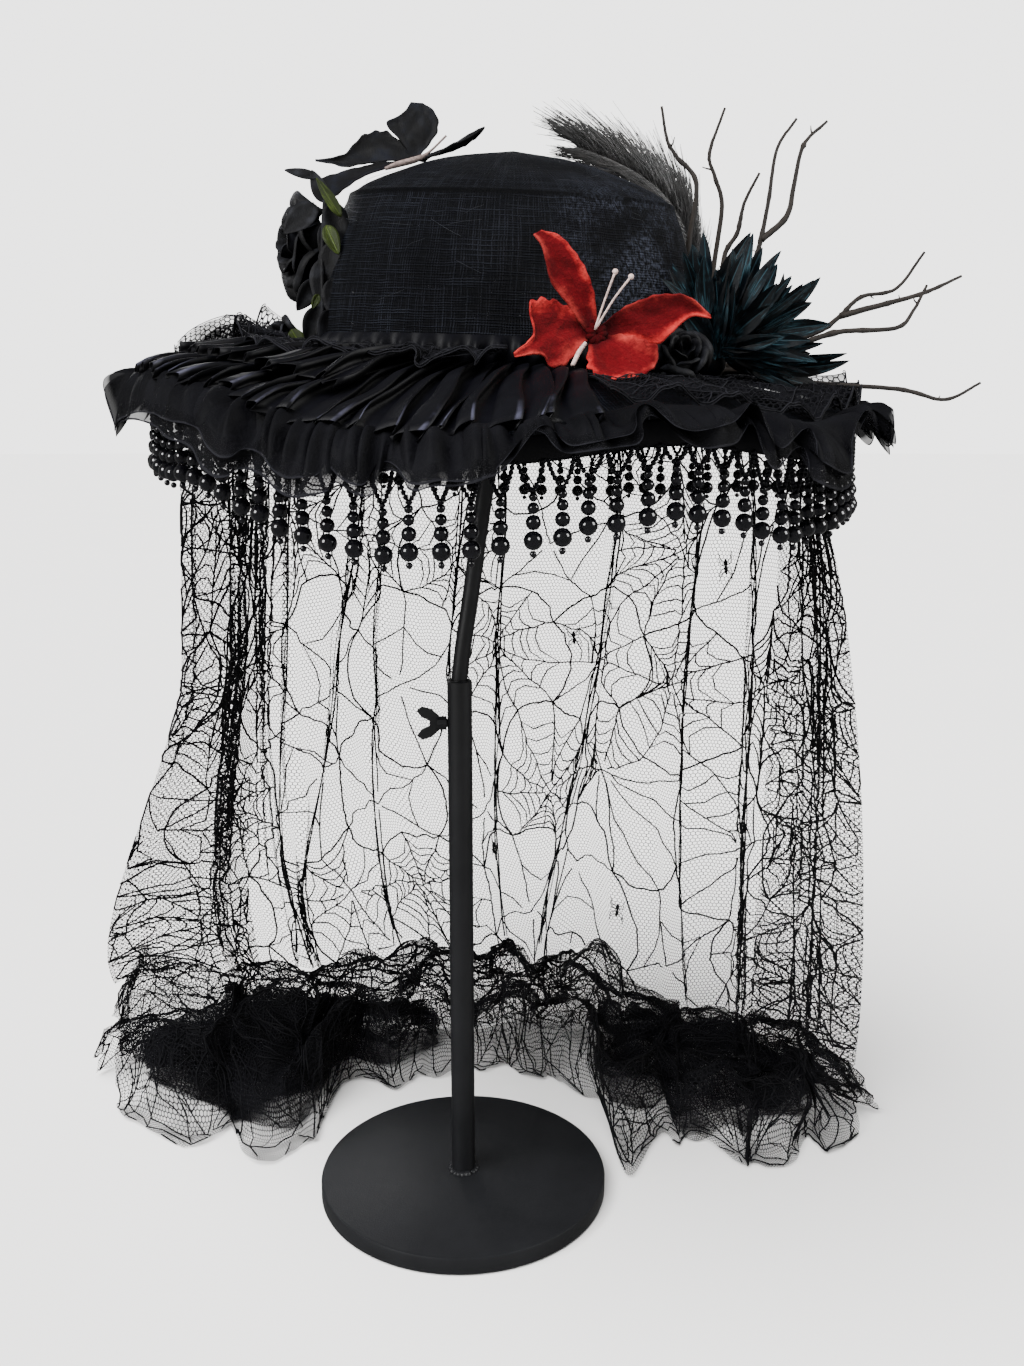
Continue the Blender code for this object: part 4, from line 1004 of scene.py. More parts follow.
def make_straw():
    """The crown, the brim and the loose straw on them."""
    side = smooth_route(CROWN_SIDE, 8)
    dome = smooth_route(CROWN_DOME, 8)
    profile = np.vstack((side, dome[1:]))
    profile[-1, 0] = 0.0
    steps = np.hypot(*np.diff(profile, axis=0).T)
    run = np.concatenate(((0.0,), np.cumsum(steps)))
    rows = 48
    reach = np.linspace(0.0, run[-1], rows + 1)[:, None]
    seam_run = run[len(side) - 1]
    azimuth = TAU * grid_shares(192, rows)[0] + math.pi
    radius = np.interp(reach, run, profile[:, 0])
    height = np.interp(reach, run, profile[:, 1])
    ridge = 0.0011 * np.exp(-(((reach - seam_run) / 0.0016) ** 2))
    blocked = 0.0005 * ridges(azimuth * 3.0, reach * 60.0, 5) * (radius > 0.004)
    radius = radius + (ridge + blocked) * np.clip(radius / 0.05, 0.0, 1.0)
    places = crown_point(radius, azimuth, height + ridge * 0.8)
    mesh = laid_grid("crown_straw", places, (TAU * 0.088, run[-1]), closed=True)
    piece = add_piece("crown_straw", mesh, straw_weave(float(seam_run)))
    thicken(piece, 0.0008, -1.0)
    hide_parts("crown")
    share, way = grid_shares(240, 14)
    azimuth = TAU * share + math.pi
    radius = BRIM_INNER + (BRIM_EDGE - BRIM_INNER) * way
    places = hat_point(radius, azimuth, brim_height(radius, azimuth))
    mesh = laid_grid("brim_straw", places, (TAU * 0.14, 0.080), closed=True)
    piece = add_piece("brim_straw", mesh, straw_weave())
    thicken(piece, BRIM_WALL * 0.8)
    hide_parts("brim")
    dice = np.random.default_rng(23)
    fibres = []
    for _ in range(STRAW_FIBRES):
        start, height = dice.uniform(-1.7, 1.7), dice.uniform(0.02, 0.10)
        steps = np.linspace(0.0, 1.0, 9)
        curl = dice.uniform(-0.5, 0.5)
        lift = np.interp(height, profile[:, 1], profile[:, 0])
        reach = dice.uniform(0.006, 0.024)
        away = lift + 0.0006 + dice.uniform(0.001, 0.0045) * np.sin(math.pi * steps) ** 2
        climb = height + reach * steps * math.sin(curl)
        away = np.minimum(away, np.interp(climb, profile[:, 1], profile[:, 0]) + 0.005)
        fibres.append((crown_point(away, start + reach * steps * math.cos(curl) / lift, climb), 0.00009))
    add_piece("straw_fibres", strands("fibres", fibres), straw_thread())


def straw_thread():
    """A loose straw fibre."""
    finish = Finish("loose_straw")
    patch = finish.speckle(300.0, 2.0)
    # Painted highlight: patches of each fibre in the lighter glint colour.
    tint = finish.blend(patch, shade(colours().straw), shade(colours().straw_glint, 1.6))
    return finish.surface(base_color=tint, roughness=0.6 + 0.2 * patch)


# Satin band and pleats


def make_satin():
    """The gathered band at the crown's foot and the two tiers of pleats."""
    share, way = grid_shares(720, 6)
    azimuth = TAU * share + math.pi
    gather = 0.5 + 0.5 * np.sin(58.0 * azimuth + 1.1 * np.sin(5 * azimuth) + 0.7 * np.sin(11 * azimuth))
    bulge = np.sin(math.pi * way) ** 0.7
    radius = BAND_FOOT + bulge * (0.0012 + 0.0036 * gather**1.5)
    height = 0.0016 + 0.0128 * way + 0.0012 * gather * (1.0 - way)
    band = laid_grid("crown_band_satin", hat_point(radius, azimuth, height), (1.2, 0.02), closed=True)
    piece = add_piece("crown_band_satin", band, satin())
    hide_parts("crown_band")
    tiers = [
        pleats("lower tier", 31, -97.0, 15.0, 0.1002, 0.1755, 0.0, 0.0),
        pleats("upper tier", 21, -97.0, -20.0, 0.1002, 0.1560, 0.0052, 0.020),
    ]
    piece = add_piece("pleated_frill_satin", joined("pleats", tiers), satin(PLEAT_CLOTH))
    thicken(piece, 0.0004)
    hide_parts("pleated_frill")


def pleats(name, count, start, end, inner, outer, lift, lean):
    """A run of knife pleats: each slopes up to a crease and folds back under it."""
    across = np.concatenate([index + np.linspace(0.0, 0.9999, 13) for index in range(count)])
    share = across / count
    inside = across % 1.0
    rise = np.interp(inside, *table(PLEAT_SECTION).T)
    _, way = grid_shares(1, 16)
    start, end = math.radians(start), math.radians(end)
    back = np.where(inside > 0.84, (inside - 0.84) * 3.0, 0.0)
    uneven = 0.40 * np.sin(2.3 * np.floor(across)) * np.sin(math.pi * np.clip(inside / 0.84, 0.0, 1.0))
    azimuth = start + (end - start) * (share - (back - uneven * way) / count)
    azimuth = azimuth - (math.radians(5.0) + lean) * way + 0.016 * np.sin(9 * share * TAU) * way
    azimuth = azimuth + 0.020 * np.sin(TAU * way + 1.7 * np.floor(across)) * way
    drop = 0.0018 * np.sin(5.0 * share * TAU + 1.0) + 0.0018 * np.sin(1.9 * np.floor(across))
    radius = inner + (outer - inner) * way + drop * way
    puff = 0.0030 * np.sin(math.pi * way) * rise * (0.6 + 0.4 * np.sin(2.7 * np.floor(across)))
    over = np.maximum(radius - PLEAT_DROP_FROM, 0.0)
    raise_edge = np.clip((radius - 0.150) / 0.02, 0.0, 1.0) * 0.0022
    lift = 0.0014 + lift + rise * 0.0044 * (0.4 + 0.6 * way) + puff + raise_edge
    seat = on_brim(np.minimum(radius, BRIM_EDGE), azimuth, lift)
    ahead = stacked(np.sin(azimuth), -np.cos(azimuth), 0.0 * radius)
    past = np.maximum(radius - BRIM_EDGE, 0.0)
    places = seat + ahead * past[..., None]
    places[..., 2] -= over * 0.24 + past * 0.35
    return laid_grid(name, places, (count * PLEAT_CLOTH, outer - inner))


# Net frills


def make_frills():
    """The net over the pleats, round the back and on the right front, with their threads."""
    lace = net("black_frill_net", sizes().coarse_pitch, 0.20, 0.80)
    # Painted sheen: the frills' threads are the black lace thread made 2.6 times lighter.
    thread = lace_thread("frill_lace_thread_painted_sheen", 2.6)
    share, way = grid_shares(320, 18)
    azimuth = math.radians(-100.0) + math.radians(98.0) * share
    wave = 0.5 + 0.5 * np.cos(TAU * 9 * share + 1.2 * np.sin(13 * share))
    wide = 0.0230 + 0.0130 * np.sin(math.pi * share) + 0.0050 * np.sin(15 * share)
    radius = 0.1010 + wide * way
    back = np.clip((0.45 - share) / 0.45, 0.0, 1.0)
    lift = 0.0080 + (0.0050 + 0.0120 * back) * wave * way + 0.0035 * back
    lift = lift + 0.0016 * ridges(share * 70, way * 11, 3)
    gather = on_brim(radius, azimuth + 0.035 * way * np.sin(TAU * 9 * share), lift)
    piece = add_piece("lace_gather_net", laid_grid("gather", gather, (0.28, 0.042)), lace)
    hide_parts("lace_gather")
    edges = frill_threads(gather, (0.28, 0.042), 0.0010, 110, 1)
    share, way = grid_shares(520, 20)
    azimuth = math.radians(96.0) + math.radians(186.0) * share
    wave = 0.5 + 0.5 * np.cos(TAU * 12 * share + 0.8 * np.sin(9 * share))
    radius = 0.1600 - 0.0520 * (1.0 - way)
    middle = 4 * way * (1.0 - way)
    far = np.clip((share - 0.80) / 0.12, 0.0, 1.0)
    lift = 0.0016 + (0.020 + 0.001 * far) * wave * (0.45 * way + 0.75 * middle)
    lift = lift + 0.0016 * ridges(share * 90, way * 9, 8)
    frill = on_brim(radius, azimuth, np.maximum(lift, 0.0008))
    piece = add_piece("lace_frill_net", laid_grid("frill", frill, (0.62, 0.055)), lace)
    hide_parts("lace_frill")
    edges += frill_threads(frill, (0.62, 0.055), 0.0012, 110, 2)
    share, way = grid_shares(260, 14)
    azimuth = math.radians(12.0) + math.radians(86.0) * share
    wave = 0.5 + 0.5 * np.cos(TAU * 8 * share + 0.8 * np.sin(9 * share))
    radius = 0.1040 + (0.0600 + 0.0160 * share**2) * way
    lift = 0.0010 + (0.0060 + 0.0105 * share**3) * wave * way + 0.0014 * ridges(share * 60, way * 9, 12)
    front = on_brim(radius, azimuth, np.maximum(lift, 0.0008))
    piece = add_piece("front_frill_net", laid_grid("front frill", front, (0.22, 0.060)), lace)
    edges += frill_threads(front, (0.22, 0.060), 0.0011, 60, 3)
    add_piece("frill_edge_threads", strands("edges", edges, 3), thread)


def frill_threads(places, cloth, gap, count, seed):
    """Two threads along a frill's edge, a gap apart, and loose threads of lace over it."""
    width, height = cloth
    edges = [(places[-1], 0.0004), (places[-1] + (0, 0, gap), 0.0003)]
    sheet = Cloth(places, width, 0.0, height)
    return edges + scribble(sheet, count, seed, 0.002, height - 0.001, 0.0005)


# Edge ruffle


def make_ruffle():
    """The two layers of organza at the brim's edge."""
    layers = [ruffle_layer(0.0, 0.0, 0.0), ruffle_layer(1.3, 0.0035, 5.0)]
    piece = add_piece("edge_ruffle_organza", joined("ruffle", layers), organza())
    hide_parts("edge_ruffle")


def ruffle_layer(turn, lower, seed):
    """One layer of the ruffle. Its hem (v = 0) swings in round loops, in front as the table says."""
    dice = np.random.default_rng(int(seed) + 3)
    rows = [list(row) for row in HEM]
    for loop in range(HEM_BACK_LOOPS):
        for step, out, drop in HEM_BACK_LOOP:
            azimuth = 69.0 + (182.0 / HEM_BACK_LOOPS) * (loop + step + dice.uniform(-0.08, 0.08))
            rows.append([azimuth, out + dice.uniform(-1.5, 1.5), drop + dice.uniform(-2.5, 3.0)])
    rows = table(rows)
    wrap = np.vstack((rows[-3:] - (360.0, 0, 0), rows, rows[:4] + (360.0, 0, 0)))
    hem = smooth_route(wrap, 7)[21:-21]
    hem[-1] = hem[0] + (360.0, 0, 0)
    azimuth = np.radians(hem[:, 0] + turn * np.sin(np.radians(hem[:, 0]) * 9 + seed))
    out, drop = hem[:, 1] / 1000, hem[:, 2] / 1000
    slack = lower * (1.4 + np.sin(np.radians(hem[:, 0]) * 5.0 + seed))
    drop = drop + slack
    window = np.hanning(43)
    turned_round = np.concatenate((azimuth[-64:-1] - TAU, azimuth, azimuth[1:64] + TAU))
    root = np.convolve(turned_round, window / window.sum(), "same")[63:-63]
    root = np.maximum.accumulate(root)
    _, way = grid_shares(1, 12)
    ease = way**0.85
    spread = azimuth + (root - azimuth) * ease
    radius = (BRIM_EDGE + out) + (RUFFLE_ROOT - BRIM_EDGE - out) * way
    foot = brim_height(BRIM_EDGE, azimuth) - drop
    top = brim_height(RUFFLE_ROOT, root) + BRIM_WALL / 2 + 0.0008 + 0.25 * lower
    height = foot + (top - foot) * np.sin(way * math.pi / 2) ** 0.9
    folds = hem[:, 0] * 0.9 + 2.0 * np.sin(hem[:, 0] * 0.21 + seed)
    pucker = (np.sin(folds) + 0.6 * np.sin(2.3 * folds + 3.0 * way)) * np.sin(math.pi * way**0.8)
    height = height + 0.0024 * pucker
    radius = radius + 0.0020 * pucker
    return laid_grid("ruffle layer", hat_point(radius, spread, height), RUFFLE_CLOTH, closed=True)


# Bead fringe


def under_brim(azimuth, drop):
    """A place on the fringe's ring, this far under the middle of the brim's wall."""
    return hat_point(FRINGE_RADIUS, azimuth, float(brim_height(FRINGE_RADIUS, azimuth)) - drop)


def make_fringe():
    """The tape, and its drops of beads with their links."""
    trim = sizes()
    gloss = glossy_bead("glossy_black_bead", 0.45, 0.03)
    seed_gloss = glossy_bead("black_seed_bead", 0.14, 0.16)
    share, corner = grid_shares(576, 8)
    azimuth = TAU * share
    section = TAU * corner
    middle = brim_height(FRINGE_RADIUS, azimuth) - BRIM_WALL / 2 - TAPE_DROP
    radius = FRINGE_RADIUS + TAPE_SECTION[0] * np.cos(section)
    tape = hat_point(radius, azimuth, middle + TAPE_SECTION[1] * np.sin(section))
    mesh = laid_grid("tape", tape, (1.08, 0.01), closed=True)
    piece = add_piece("fringe_tape", mesh, satin())
    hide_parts("bead_fringe")
    seeds, larger = [], []
    dice = np.random.default_rng(7)
    sizes_down = [trim.big_bead * share for share in BEAD_SHARES]
    pearls = sum(sizes_down[:3]) + sizes_down[3] / 2
    half = math.pi / trim.drops
    places, falls = table(DROP_FALLS).T
    for index in range(trim.drops):
        azimuth = TAU * (index + 0.37) / trim.drops
        degrees = (math.degrees(azimuth) + 180.0) % 360.0 - 180.0
        fall = np.interp(degrees, places, falls) / 1000 + dice.uniform(-0.0010, 0.0010)
        sway = dice.uniform(-0.0010, 0.0010)
        foot = under_brim(azimuth, BRIM_WALL / 2 + 0.0078)
        along = np.array((math.cos(azimuth), math.sin(azimuth), 0.0))
        outward = np.array((math.sin(azimuth), -math.cos(azimuth), 0.0))
        knot = foot - (0, 0, fall - pearls) + along * sway
        for side in (-1, 1):
            start_azimuth = azimuth + side * half * 0.86
            start = under_brim(start_azimuth, 0.0110)
            strand = knot - start
            count = int(np.linalg.norm(strand) / (trim.seed_bead * 0.84))
            for bead in range(count):
                way = (bead + 0.5) / count
                bow = 0.0009 * math.sin(math.pi * way) * side
                spot = start + strand * way + along * bow + outward * 0.0004 * side
                size = trim.seed_bead * dice.uniform(0.55, 0.63)
                seeds.append(Matrix.Translation(spot) @ Matrix.Scale(size, 4))
        below = knot
        for size in sizes_down:
            below = below - (0, 0, size / 2)
            wobble = along * sway * 0.3
            larger.append(Matrix.Translation(below + wobble) @ Matrix.Scale(size / 2 * 0.985, 4))
            below = below - (0, 0, size / 2)
    add_piece("fringe_seed_beads", repeated("seeds", ball(6, 4), seeds), seed_gloss)
    add_piece("fringe_round_beads", repeated("pearls", ball(12, 7), larger), gloss)


# Veil


def heap_height(share):
    """Height of the heap's crest at a share of the veil."""
    right = np.clip((share - 0.55) / 0.2, 0.0, 1.0)
    height = 0.066 + (0.042 - 0.066) * right
    return height * (1.0 + 0.12 * np.sin(23 * share) + 0.06 * np.sin(41 * share + 1.0))


def veil_plan(share, fall):
    """Radius and azimuth of the veil at a share of its way round and of its fall."""
    left = np.maximum(0.0, 1.0 - share / 0.38) ** 1.5
    right = np.maximum(0.0, (share - 0.66) / 0.34) ** 1.5
    left_fall = np.maximum(0.0, fall - 0.40) / 0.60
    right_fall = np.maximum(0.0, fall - 0.15) / 0.85
    radius = VEIL_RADIUS + 0.012 * fall + 0.105 * left * left_fall**1.3 + 0.052 * right * right_fall**0.8
    folds = np.sin(TAU * 9 * share + 1.3 * np.sin(7 * share)) * (0.7 + 0.3 * np.sin(11 * share))
    radius = radius + folds * (0.0015 + 0.0085 * fall) - 0.013 * np.exp(-(((share - 0.11) / 0.055) ** 2))
    start = VEIL_LEFT + VEIL_LEFT_SWING * left_fall**1.5
    end = VEIL_RIGHT + VEIL_RIGHT_SWING * right_fall
    return radius, start + (end - start) * share


def cloth_shares(across, fall):
    """Where shares of the cloth's width lie round the veil at one fall, and how bunched they are."""
    share = np.linspace(0.0, 1.0, 2401)
    density = np.ones_like(share)
    for route, half, weight in BUNCHES:
        falls, shares = table(route).T
        density += weight * np.exp(-(((share - np.interp(fall, falls, shares)) / half) ** 2))
    total = np.concatenate(((0.0,), np.cumsum((density[1:] + density[:-1]) / 2)))
    total /= total[-1]
    found = np.interp(across, total, share)
    pace = np.gradient(total, share)
    return found, np.interp(found, share, pace)


class Cloth:
    """A sheet as an array of places, read at any place of its flat cloth."""

    def __init__(self, places, width, start, end):
        self.places = places
        self.width = width
        self.start = start
        self.end = end

    def at(self, points):
        """Places on the sheet for flat cloth coordinates (across and down) in metres."""
        across, down = points.T
        rows, columns = self.places.shape[0] - 1, self.places.shape[1] - 1
        column = np.clip(across / self.width, 0.0, 1.0) * columns
        row = np.clip((down - self.start) / (self.end - self.start), 0.0, 1.0) * rows
        left = np.minimum(column.astype(int), columns - 1)
        top = np.minimum(row.astype(int), rows - 1)
        right_share = (column - left)[:, None]
        low_share = (row - top)[:, None]
        upper, lower = (
            self.places[line, left] * (1 - right_share) + self.places[line, left + 1] * right_share
            for line in (top, top + 1)
        )
        return upper * (1 - low_share) + lower * low_share


def veil_top(share):
    """Height of the veil's seam under the brim."""
    radius, azimuth = veil_plan(share, 0.0)
    return hat_point(radius, azimuth, brim_height(radius, azimuth) - SEAM_DEPTH)[:, 2]


def round_hat(radius, azimuth, height):
    """Places round an upright line through the hat's middle."""
    return stacked(HAT_X + radius * np.sin(azimuth), -radius * np.cos(azimuth), height)


def curtain_places(columns, rows):
    """The hanging part, from under the brim to the crest of the heap, turned back at both its edges."""
    veil = sizes().veil_width
    width = LEFT_TURN + veil + RIGHT_TURN
    lines = []
    wander = np.linspace(0.0, width, columns + 1)
    inner = wander - LEFT_TURN
    left_back, right_back = np.maximum(-inner, 0.0), np.maximum(inner - veil, 0.0)
    back = np.minimum((left_back + right_back) / 0.006, 1.0)
    for fall in np.linspace(0.0, 1.0, rows + 1):
        share, pace = cloth_shares(np.clip(inner, 0.0, veil) / veil, fall)
        turned_back = left_back / LEFT_TURN
        share = share + turned_back * (0.185 - 0.095 * fall)
        share = share + np.minimum(turned_back * 8.0, 1.0) * 0.035 * fall
        share = share - right_back / RIGHT_TURN * 0.125
        radius, azimuth = veil_plan(share, fall)
        span = abs(azimuth.max() - azimuth.min())
        slack = np.maximum(veil * pace / (radius * span), 1.0)
        level = np.full_like(wander, fall)
        phase = TAU * wander / FOLD_PITCH + 3.2 * ridges(wander * 31.0, level * 3.0, 4)
        phase = phase + 1.5 * ridges(wander * 90.0, level * 6.0, 6)
        ease = min(1.0, 0.25 + fall / 0.10)
        ply = FOLD_PITCH / TAU * np.sqrt(2.0 - 2.0 / slack**2) * ease
        ply = ply * (1.0 + 0.45 * ridges(wander * 55.0, level * 5.0, 9))
        ply = np.clip(ply, 0.0, 0.0095) * (0.12 + 0.88 * np.abs(np.cos(azimuth))) * (1.0 - back)
        ply = ply + (0.0016 + 0.0024 * fall) * back
        radius = radius + ply * np.sin(phase) - 0.0060 * back
        azimuth = azimuth + 0.012 * ridges(wander * 24.0, level * 11.0, 15) * (slack - 1.0).clip(0.0, 1.0)
        top = veil_top(share)
        height = top + (heap_height(share) + 0.0005 - top) * fall
        lines.append(round_hat(radius, azimuth, height))
    return np.array(lines)


def crease_lines():
    """Threads drawn together where the curtain is bunched into narrow creases."""
    routes = []
    for number, (route, half, _) in enumerate(BUNCHES[1:-1]):
        falls, shares = table(route).T
        fall = np.linspace(0.01, 0.96, 44)
        for thread in range(3 if half > 0.006 else 2):
            turn = TAU * (fall * (3.0 + 0.7 * number) + thread / 3.0)
            share = np.interp(fall, falls, shares) + 0.10 * half * np.sin(turn)
            share = share + half * 0.30 * np.sin(5 * fall + thread)
            radius, azimuth = veil_plan(share, fall)
            top = veil_top(share)
            height = top + (heap_height(share) - top) * fall
            places = round_hat(radius + 0.0010 * np.cos(turn), azimuth, height)
            routes.append((places, 0.00062 * (0.55 + 0.45 * np.sin(3.0 * fall + number + thread) ** 2)))
    return routes


def crest_lines(sheet, count, seed):
    """Long wandering ridges of lace along the top of the heap."""
    dice = np.random.default_rng(seed)
    routes = []
    for _ in range(count):
        start, extent = dice.uniform(0.0, 0.7), dice.uniform(0.12, 0.45)
        across = np.linspace(start, min(start + extent, 0.99), 70) * sheet.width
        down = dice.uniform(0.22, 0.62)
        down = down + 0.055 * ridges(across * 26.0, across * 0.0, seed * 50 + len(routes))
        level = sheet.start + down * (sheet.end - sheet.start)
        places = sheet.at(np.stack((across, level), -1))
        routes.append((places + (0.0, -0.0008, 0.0008), dice.uniform(0.0004, 0.0008)))
    return routes


def rumple(across, down, size, seed, sharp=True):
    """A crumpling push for each place of a sheet: three values of about -1 to 1."""
    flat = np.broadcast_arrays(across, down)
    pushes = [
        noise.turbulence_vector(Vector((a / size, b / size, seed)), 3, sharp)
        for a, b in zip(flat[0].ravel(), flat[1].ravel())
    ]
    pushes = np.array(pushes).reshape(*flat[0].shape, 3)
    pushes -= pushes.mean(axis=(0, 1))
    return pushes / (2.0 * pushes.std(axis=(0, 1)))


def heap_places(columns, rows, scale, seed, left=0.0, right=1.0, first=-1.0, last=1.0, crush=1.0):
    """The part that lies on the floor, from its outer edge over the crest to its front edge."""
    width = sizes().veil_width
    section = smooth_route(HEAP_SECTION, 8)
    wander = np.linspace(left, right, columns + 1)
    share = (0.45 * cloth_shares(wander, 1.0)[0] + 0.55 * wander)[None, :]
    down = grid_shares(1, rows)[1]
    way = first + (last - first) * down
    radius, azimuth = veil_plan(share, 1.0)
    crest = round_hat(radius, azimuth, heap_height(share))
    inward = np.stack((HAT_X - crest[..., 0], -crest[..., 1]), -1)
    inward /= np.linalg.norm(inward, axis=-1, keepdims=True)
    forward = inward * 0.15 + (0.0, -1.0)
    forward /= np.linalg.norm(forward, axis=-1, keepdims=True)
    ends = np.minimum(wander - left, right - wander) / 0.07
    ends = np.clip(ends if left > 0.0 else ends * 3.0 + 0.4, 0.0, 1.0)[None, :] ** 0.6
    uneven = 1.0 + 0.16 * np.sin(37.0 * share + seed * 1.7) + 0.10 * np.sin(83.0 * share + seed * 2.9)
    depth = np.interp(share, *table(HEAP_DEPTH).T) * uneven * (0.35 + 0.65 * ends)
    back = np.minimum(way, 0.0)[..., None] * inward * 0.022
    ahead = (np.maximum(way, 0.0) * depth * scale)[..., None] * forward
    rise = np.maximum(np.interp(way, section[:, 0], section[:, 1]), 0.0)
    across = wander[None, :] * width + 0.0 * way
    run = down * POOL_RUN + 0.0 * across
    lump = 0.16 * np.sin(29 * share + 9 * way + seed) + 0.10 * np.sin(53 * share + 4 * way)
    height = (crest[..., 2] * scale) * rise * (1.0 + lump * (way > 0.0)) * (0.30 + 0.70 * ends)
    body = np.clip(height / 0.020, 0.30, 1.0)[..., None]
    push = rumple(across * 0.55, run, 0.042, seed) * (0.0085, 0.0100, 0.0055)
    push += rumple(across * 0.8, run, 0.018, seed + 3) * (0.0018, 0.0022, 0.0018)
    flat = np.concatenate((crest[..., :2] + back + ahead, height[..., None]), -1) + push * body * crush
    edge = 0.0012 + 0.0030 * (0.5 + 0.5 * ridges(across * 110.0, run * 30.0, seed + 9))
    flat[..., 2] = np.maximum(flat[..., 2], edge)
    return flat


def web_centre(column, row, jitter, cell):
    """Middle of a web of the lace, in a loose three-way lattice."""
    shift = jitter[row % 60, column % 60]
    return np.array((((column + row / 2) + shift[0]) * cell, (row + shift[1]) * cell * math.sqrt(3.0) / 2))


def web_lines(start, end, width):
    """The lace of the cloth between two of its levels: routes on the flat cloth, each with a thickness."""
    cell = sizes().web_cell
    dice = np.random.default_rng(41)
    jitter = dice.uniform(-0.24, 0.24, (60, 60, 2))
    chances = dice.uniform(0.0, 1.0, (60, 60, 4))
    round_about = ((1, 0), (0, 1), (-1, 1), (-1, 0), (0, -1), (1, -1))
    lines = []
    rows = int((VEIL_FALL + POOL_RUN) / (cell * 0.866)) + 3
    for row in range(-1, rows):
        for column in range(-1 - rows // 2 - 1, int(width / cell) + 2):
            centre = web_centre(column, row, jitter, cell)
            if not (-cell < centre[0] < width + cell and start - cell < centre[1] < end + cell):
                continue
            near = [web_centre(column + a, row + b, jitter, cell) for a, b in round_about]
            ring = [(centre + a + b) / 3 for a, b in zip(near, near[1:] + near[:1])]
            borders = []
            for index, other in enumerate(near):
                way = other - centre
                way /= np.linalg.norm(way)
                key = math.sin(float(np.sum(other + centre)) * 977.0)
                sign = 1.0 if (other[0], other[1]) > (centre[0], centre[1]) else -1.0
                bulge = way * sign * cell * 0.15 * key
                first, second = ring[index - 1], ring[index]
                steps = np.linspace(0.0, 1.0, 13)[:, None]
                borders.append(first + (second - first) * steps + bulge * 4 * steps * (1 - steps))
            lines += web_of(centre, borders, chances[row % 60, column % 60])
    kept = []
    for points, weight in lines:
        points = points + 0.0006 * wiggle(points)
        x, y = points.T
        inside = (x > 0) & (x < width) & (y >= start) & (y <= end)
        for run in np.split(np.arange(len(points)), np.flatnonzero(np.diff(inside.astype(int))) + 1):
            if len(run) > 1 and inside[run[0]]:
                kept.append((points[run], weight))
    return kept


def wiggle(points):
    """A small unevenness of a thread, the same wherever two threads meet."""
    x, y = points[:, 0], points[:, 1]
    first = np.sin(x * 1130.0 + 2.0 * np.sin(y * 710.0)) + 0.6 * np.sin(y * 1610.0 + x * 420.0)
    second = np.sin(y * 1210.0 + 2.0 * np.sin(x * 630.0)) + 0.6 * np.sin(x * 1530.0 - y * 390.0)
    return np.stack((first, second), -1)


def web_of(centre, borders, chance):
    """One spider's web inside its curved borders; some are whole, some half and some open."""
    whole = chance[0] < WHOLE_WEBS
    open_web = chance[0] > OPEN_WEBS
    ends = np.array([border[mark] for border in borders for mark in (0, 6)])
    heart = centre + (chance[1:3] - 0.5) * 0.020
    if open_web:
        ends = ends[:: 2 if chance[3] < 0.5 else 3]
    count = len(ends)
    lines = []
    bends = []
    for index, end in enumerate(ends):
        way = end - heart
        side = np.array((-way[1], way[0])) * 0.12 * math.sin(index * 2.4 + chance[3] * 9.0)
        steps = np.linspace(0.0, 1.0, 9)[:, None]
        bends.append(heart + way * steps + side * steps * (1 - steps) * 2)
        lines.append((bends[-1][0 if index % 3 == 0 else 1 :], 0.95))
    for number, share in enumerate(WHOLE_RINGS if whole else HALF_RINGS):
        if open_web and number != 2:
            continue
        reach = count if whole else int(count * (0.45 + 0.4 * chance[1]))
        start = 0 if whole else int(chance[2] * count)
        loop = []
        for index in range(start, start + reach):
            level = share * (1.0 + 0.06 * math.sin(index * 3.1 + number)) * 8
            corner, other = (
                np.array([np.interp(level, range(9), bends[turn % count][:, axis]) for axis in (0, 1)])
                for turn in (index, index + 1)
            )
            steps = np.linspace(0.0, 1.0, 4)[:-1, None]
            sag = (heart - (corner + other) / 2) * 0.13
            loop.append(corner + (other - corner) * steps + sag * 4 * steps * (1 - steps))
        lines.append((np.vstack((*loop, other[None, :])), 0.95))
    for border in borders[:3]:
        lines.append((border, 1.15))
    return lines


def mapped_lines(sheet, lines, thickness):
    """The lines of the flat lace laid on a sheet."""
    routes = []
    for points, weight in lines:
        places = sheet.at(points)
        places[:, 2] = np.maximum(places[:, 2], 0.0006)
        routes.append((places, thickness / 2 * weight))
    return routes


def spiders(sheet, spots):
    """Small embroidered spiders: a thick body and eight bent legs."""
    routes = []
    for x, y, turn in spots:
        ahead = np.array((math.sin(turn), math.cos(turn)))
        side = np.array((ahead[1], -ahead[0]))
        steps = np.linspace(-1.0, 1.0, 7)[:, None]
        body = (x, y) + ahead * steps * 0.0048
        routes.append((sheet.at(body), table(SPIDER_BODY) / 1000))
        for angle in (-0.9, -0.3, 0.3, 0.9):
            for hand in (-1, 1):
                root = (x, y) + ahead * angle * 0.0022
                knee = root + side * hand * 0.0034 + ahead * angle * 0.0030
                foot = knee + side * hand * 0.0012 + ahead * math.copysign(0.0040, angle)
                line = np.array((root, knee, foot))
                routes.append((sheet.at(line), 0.00036))
    return routes


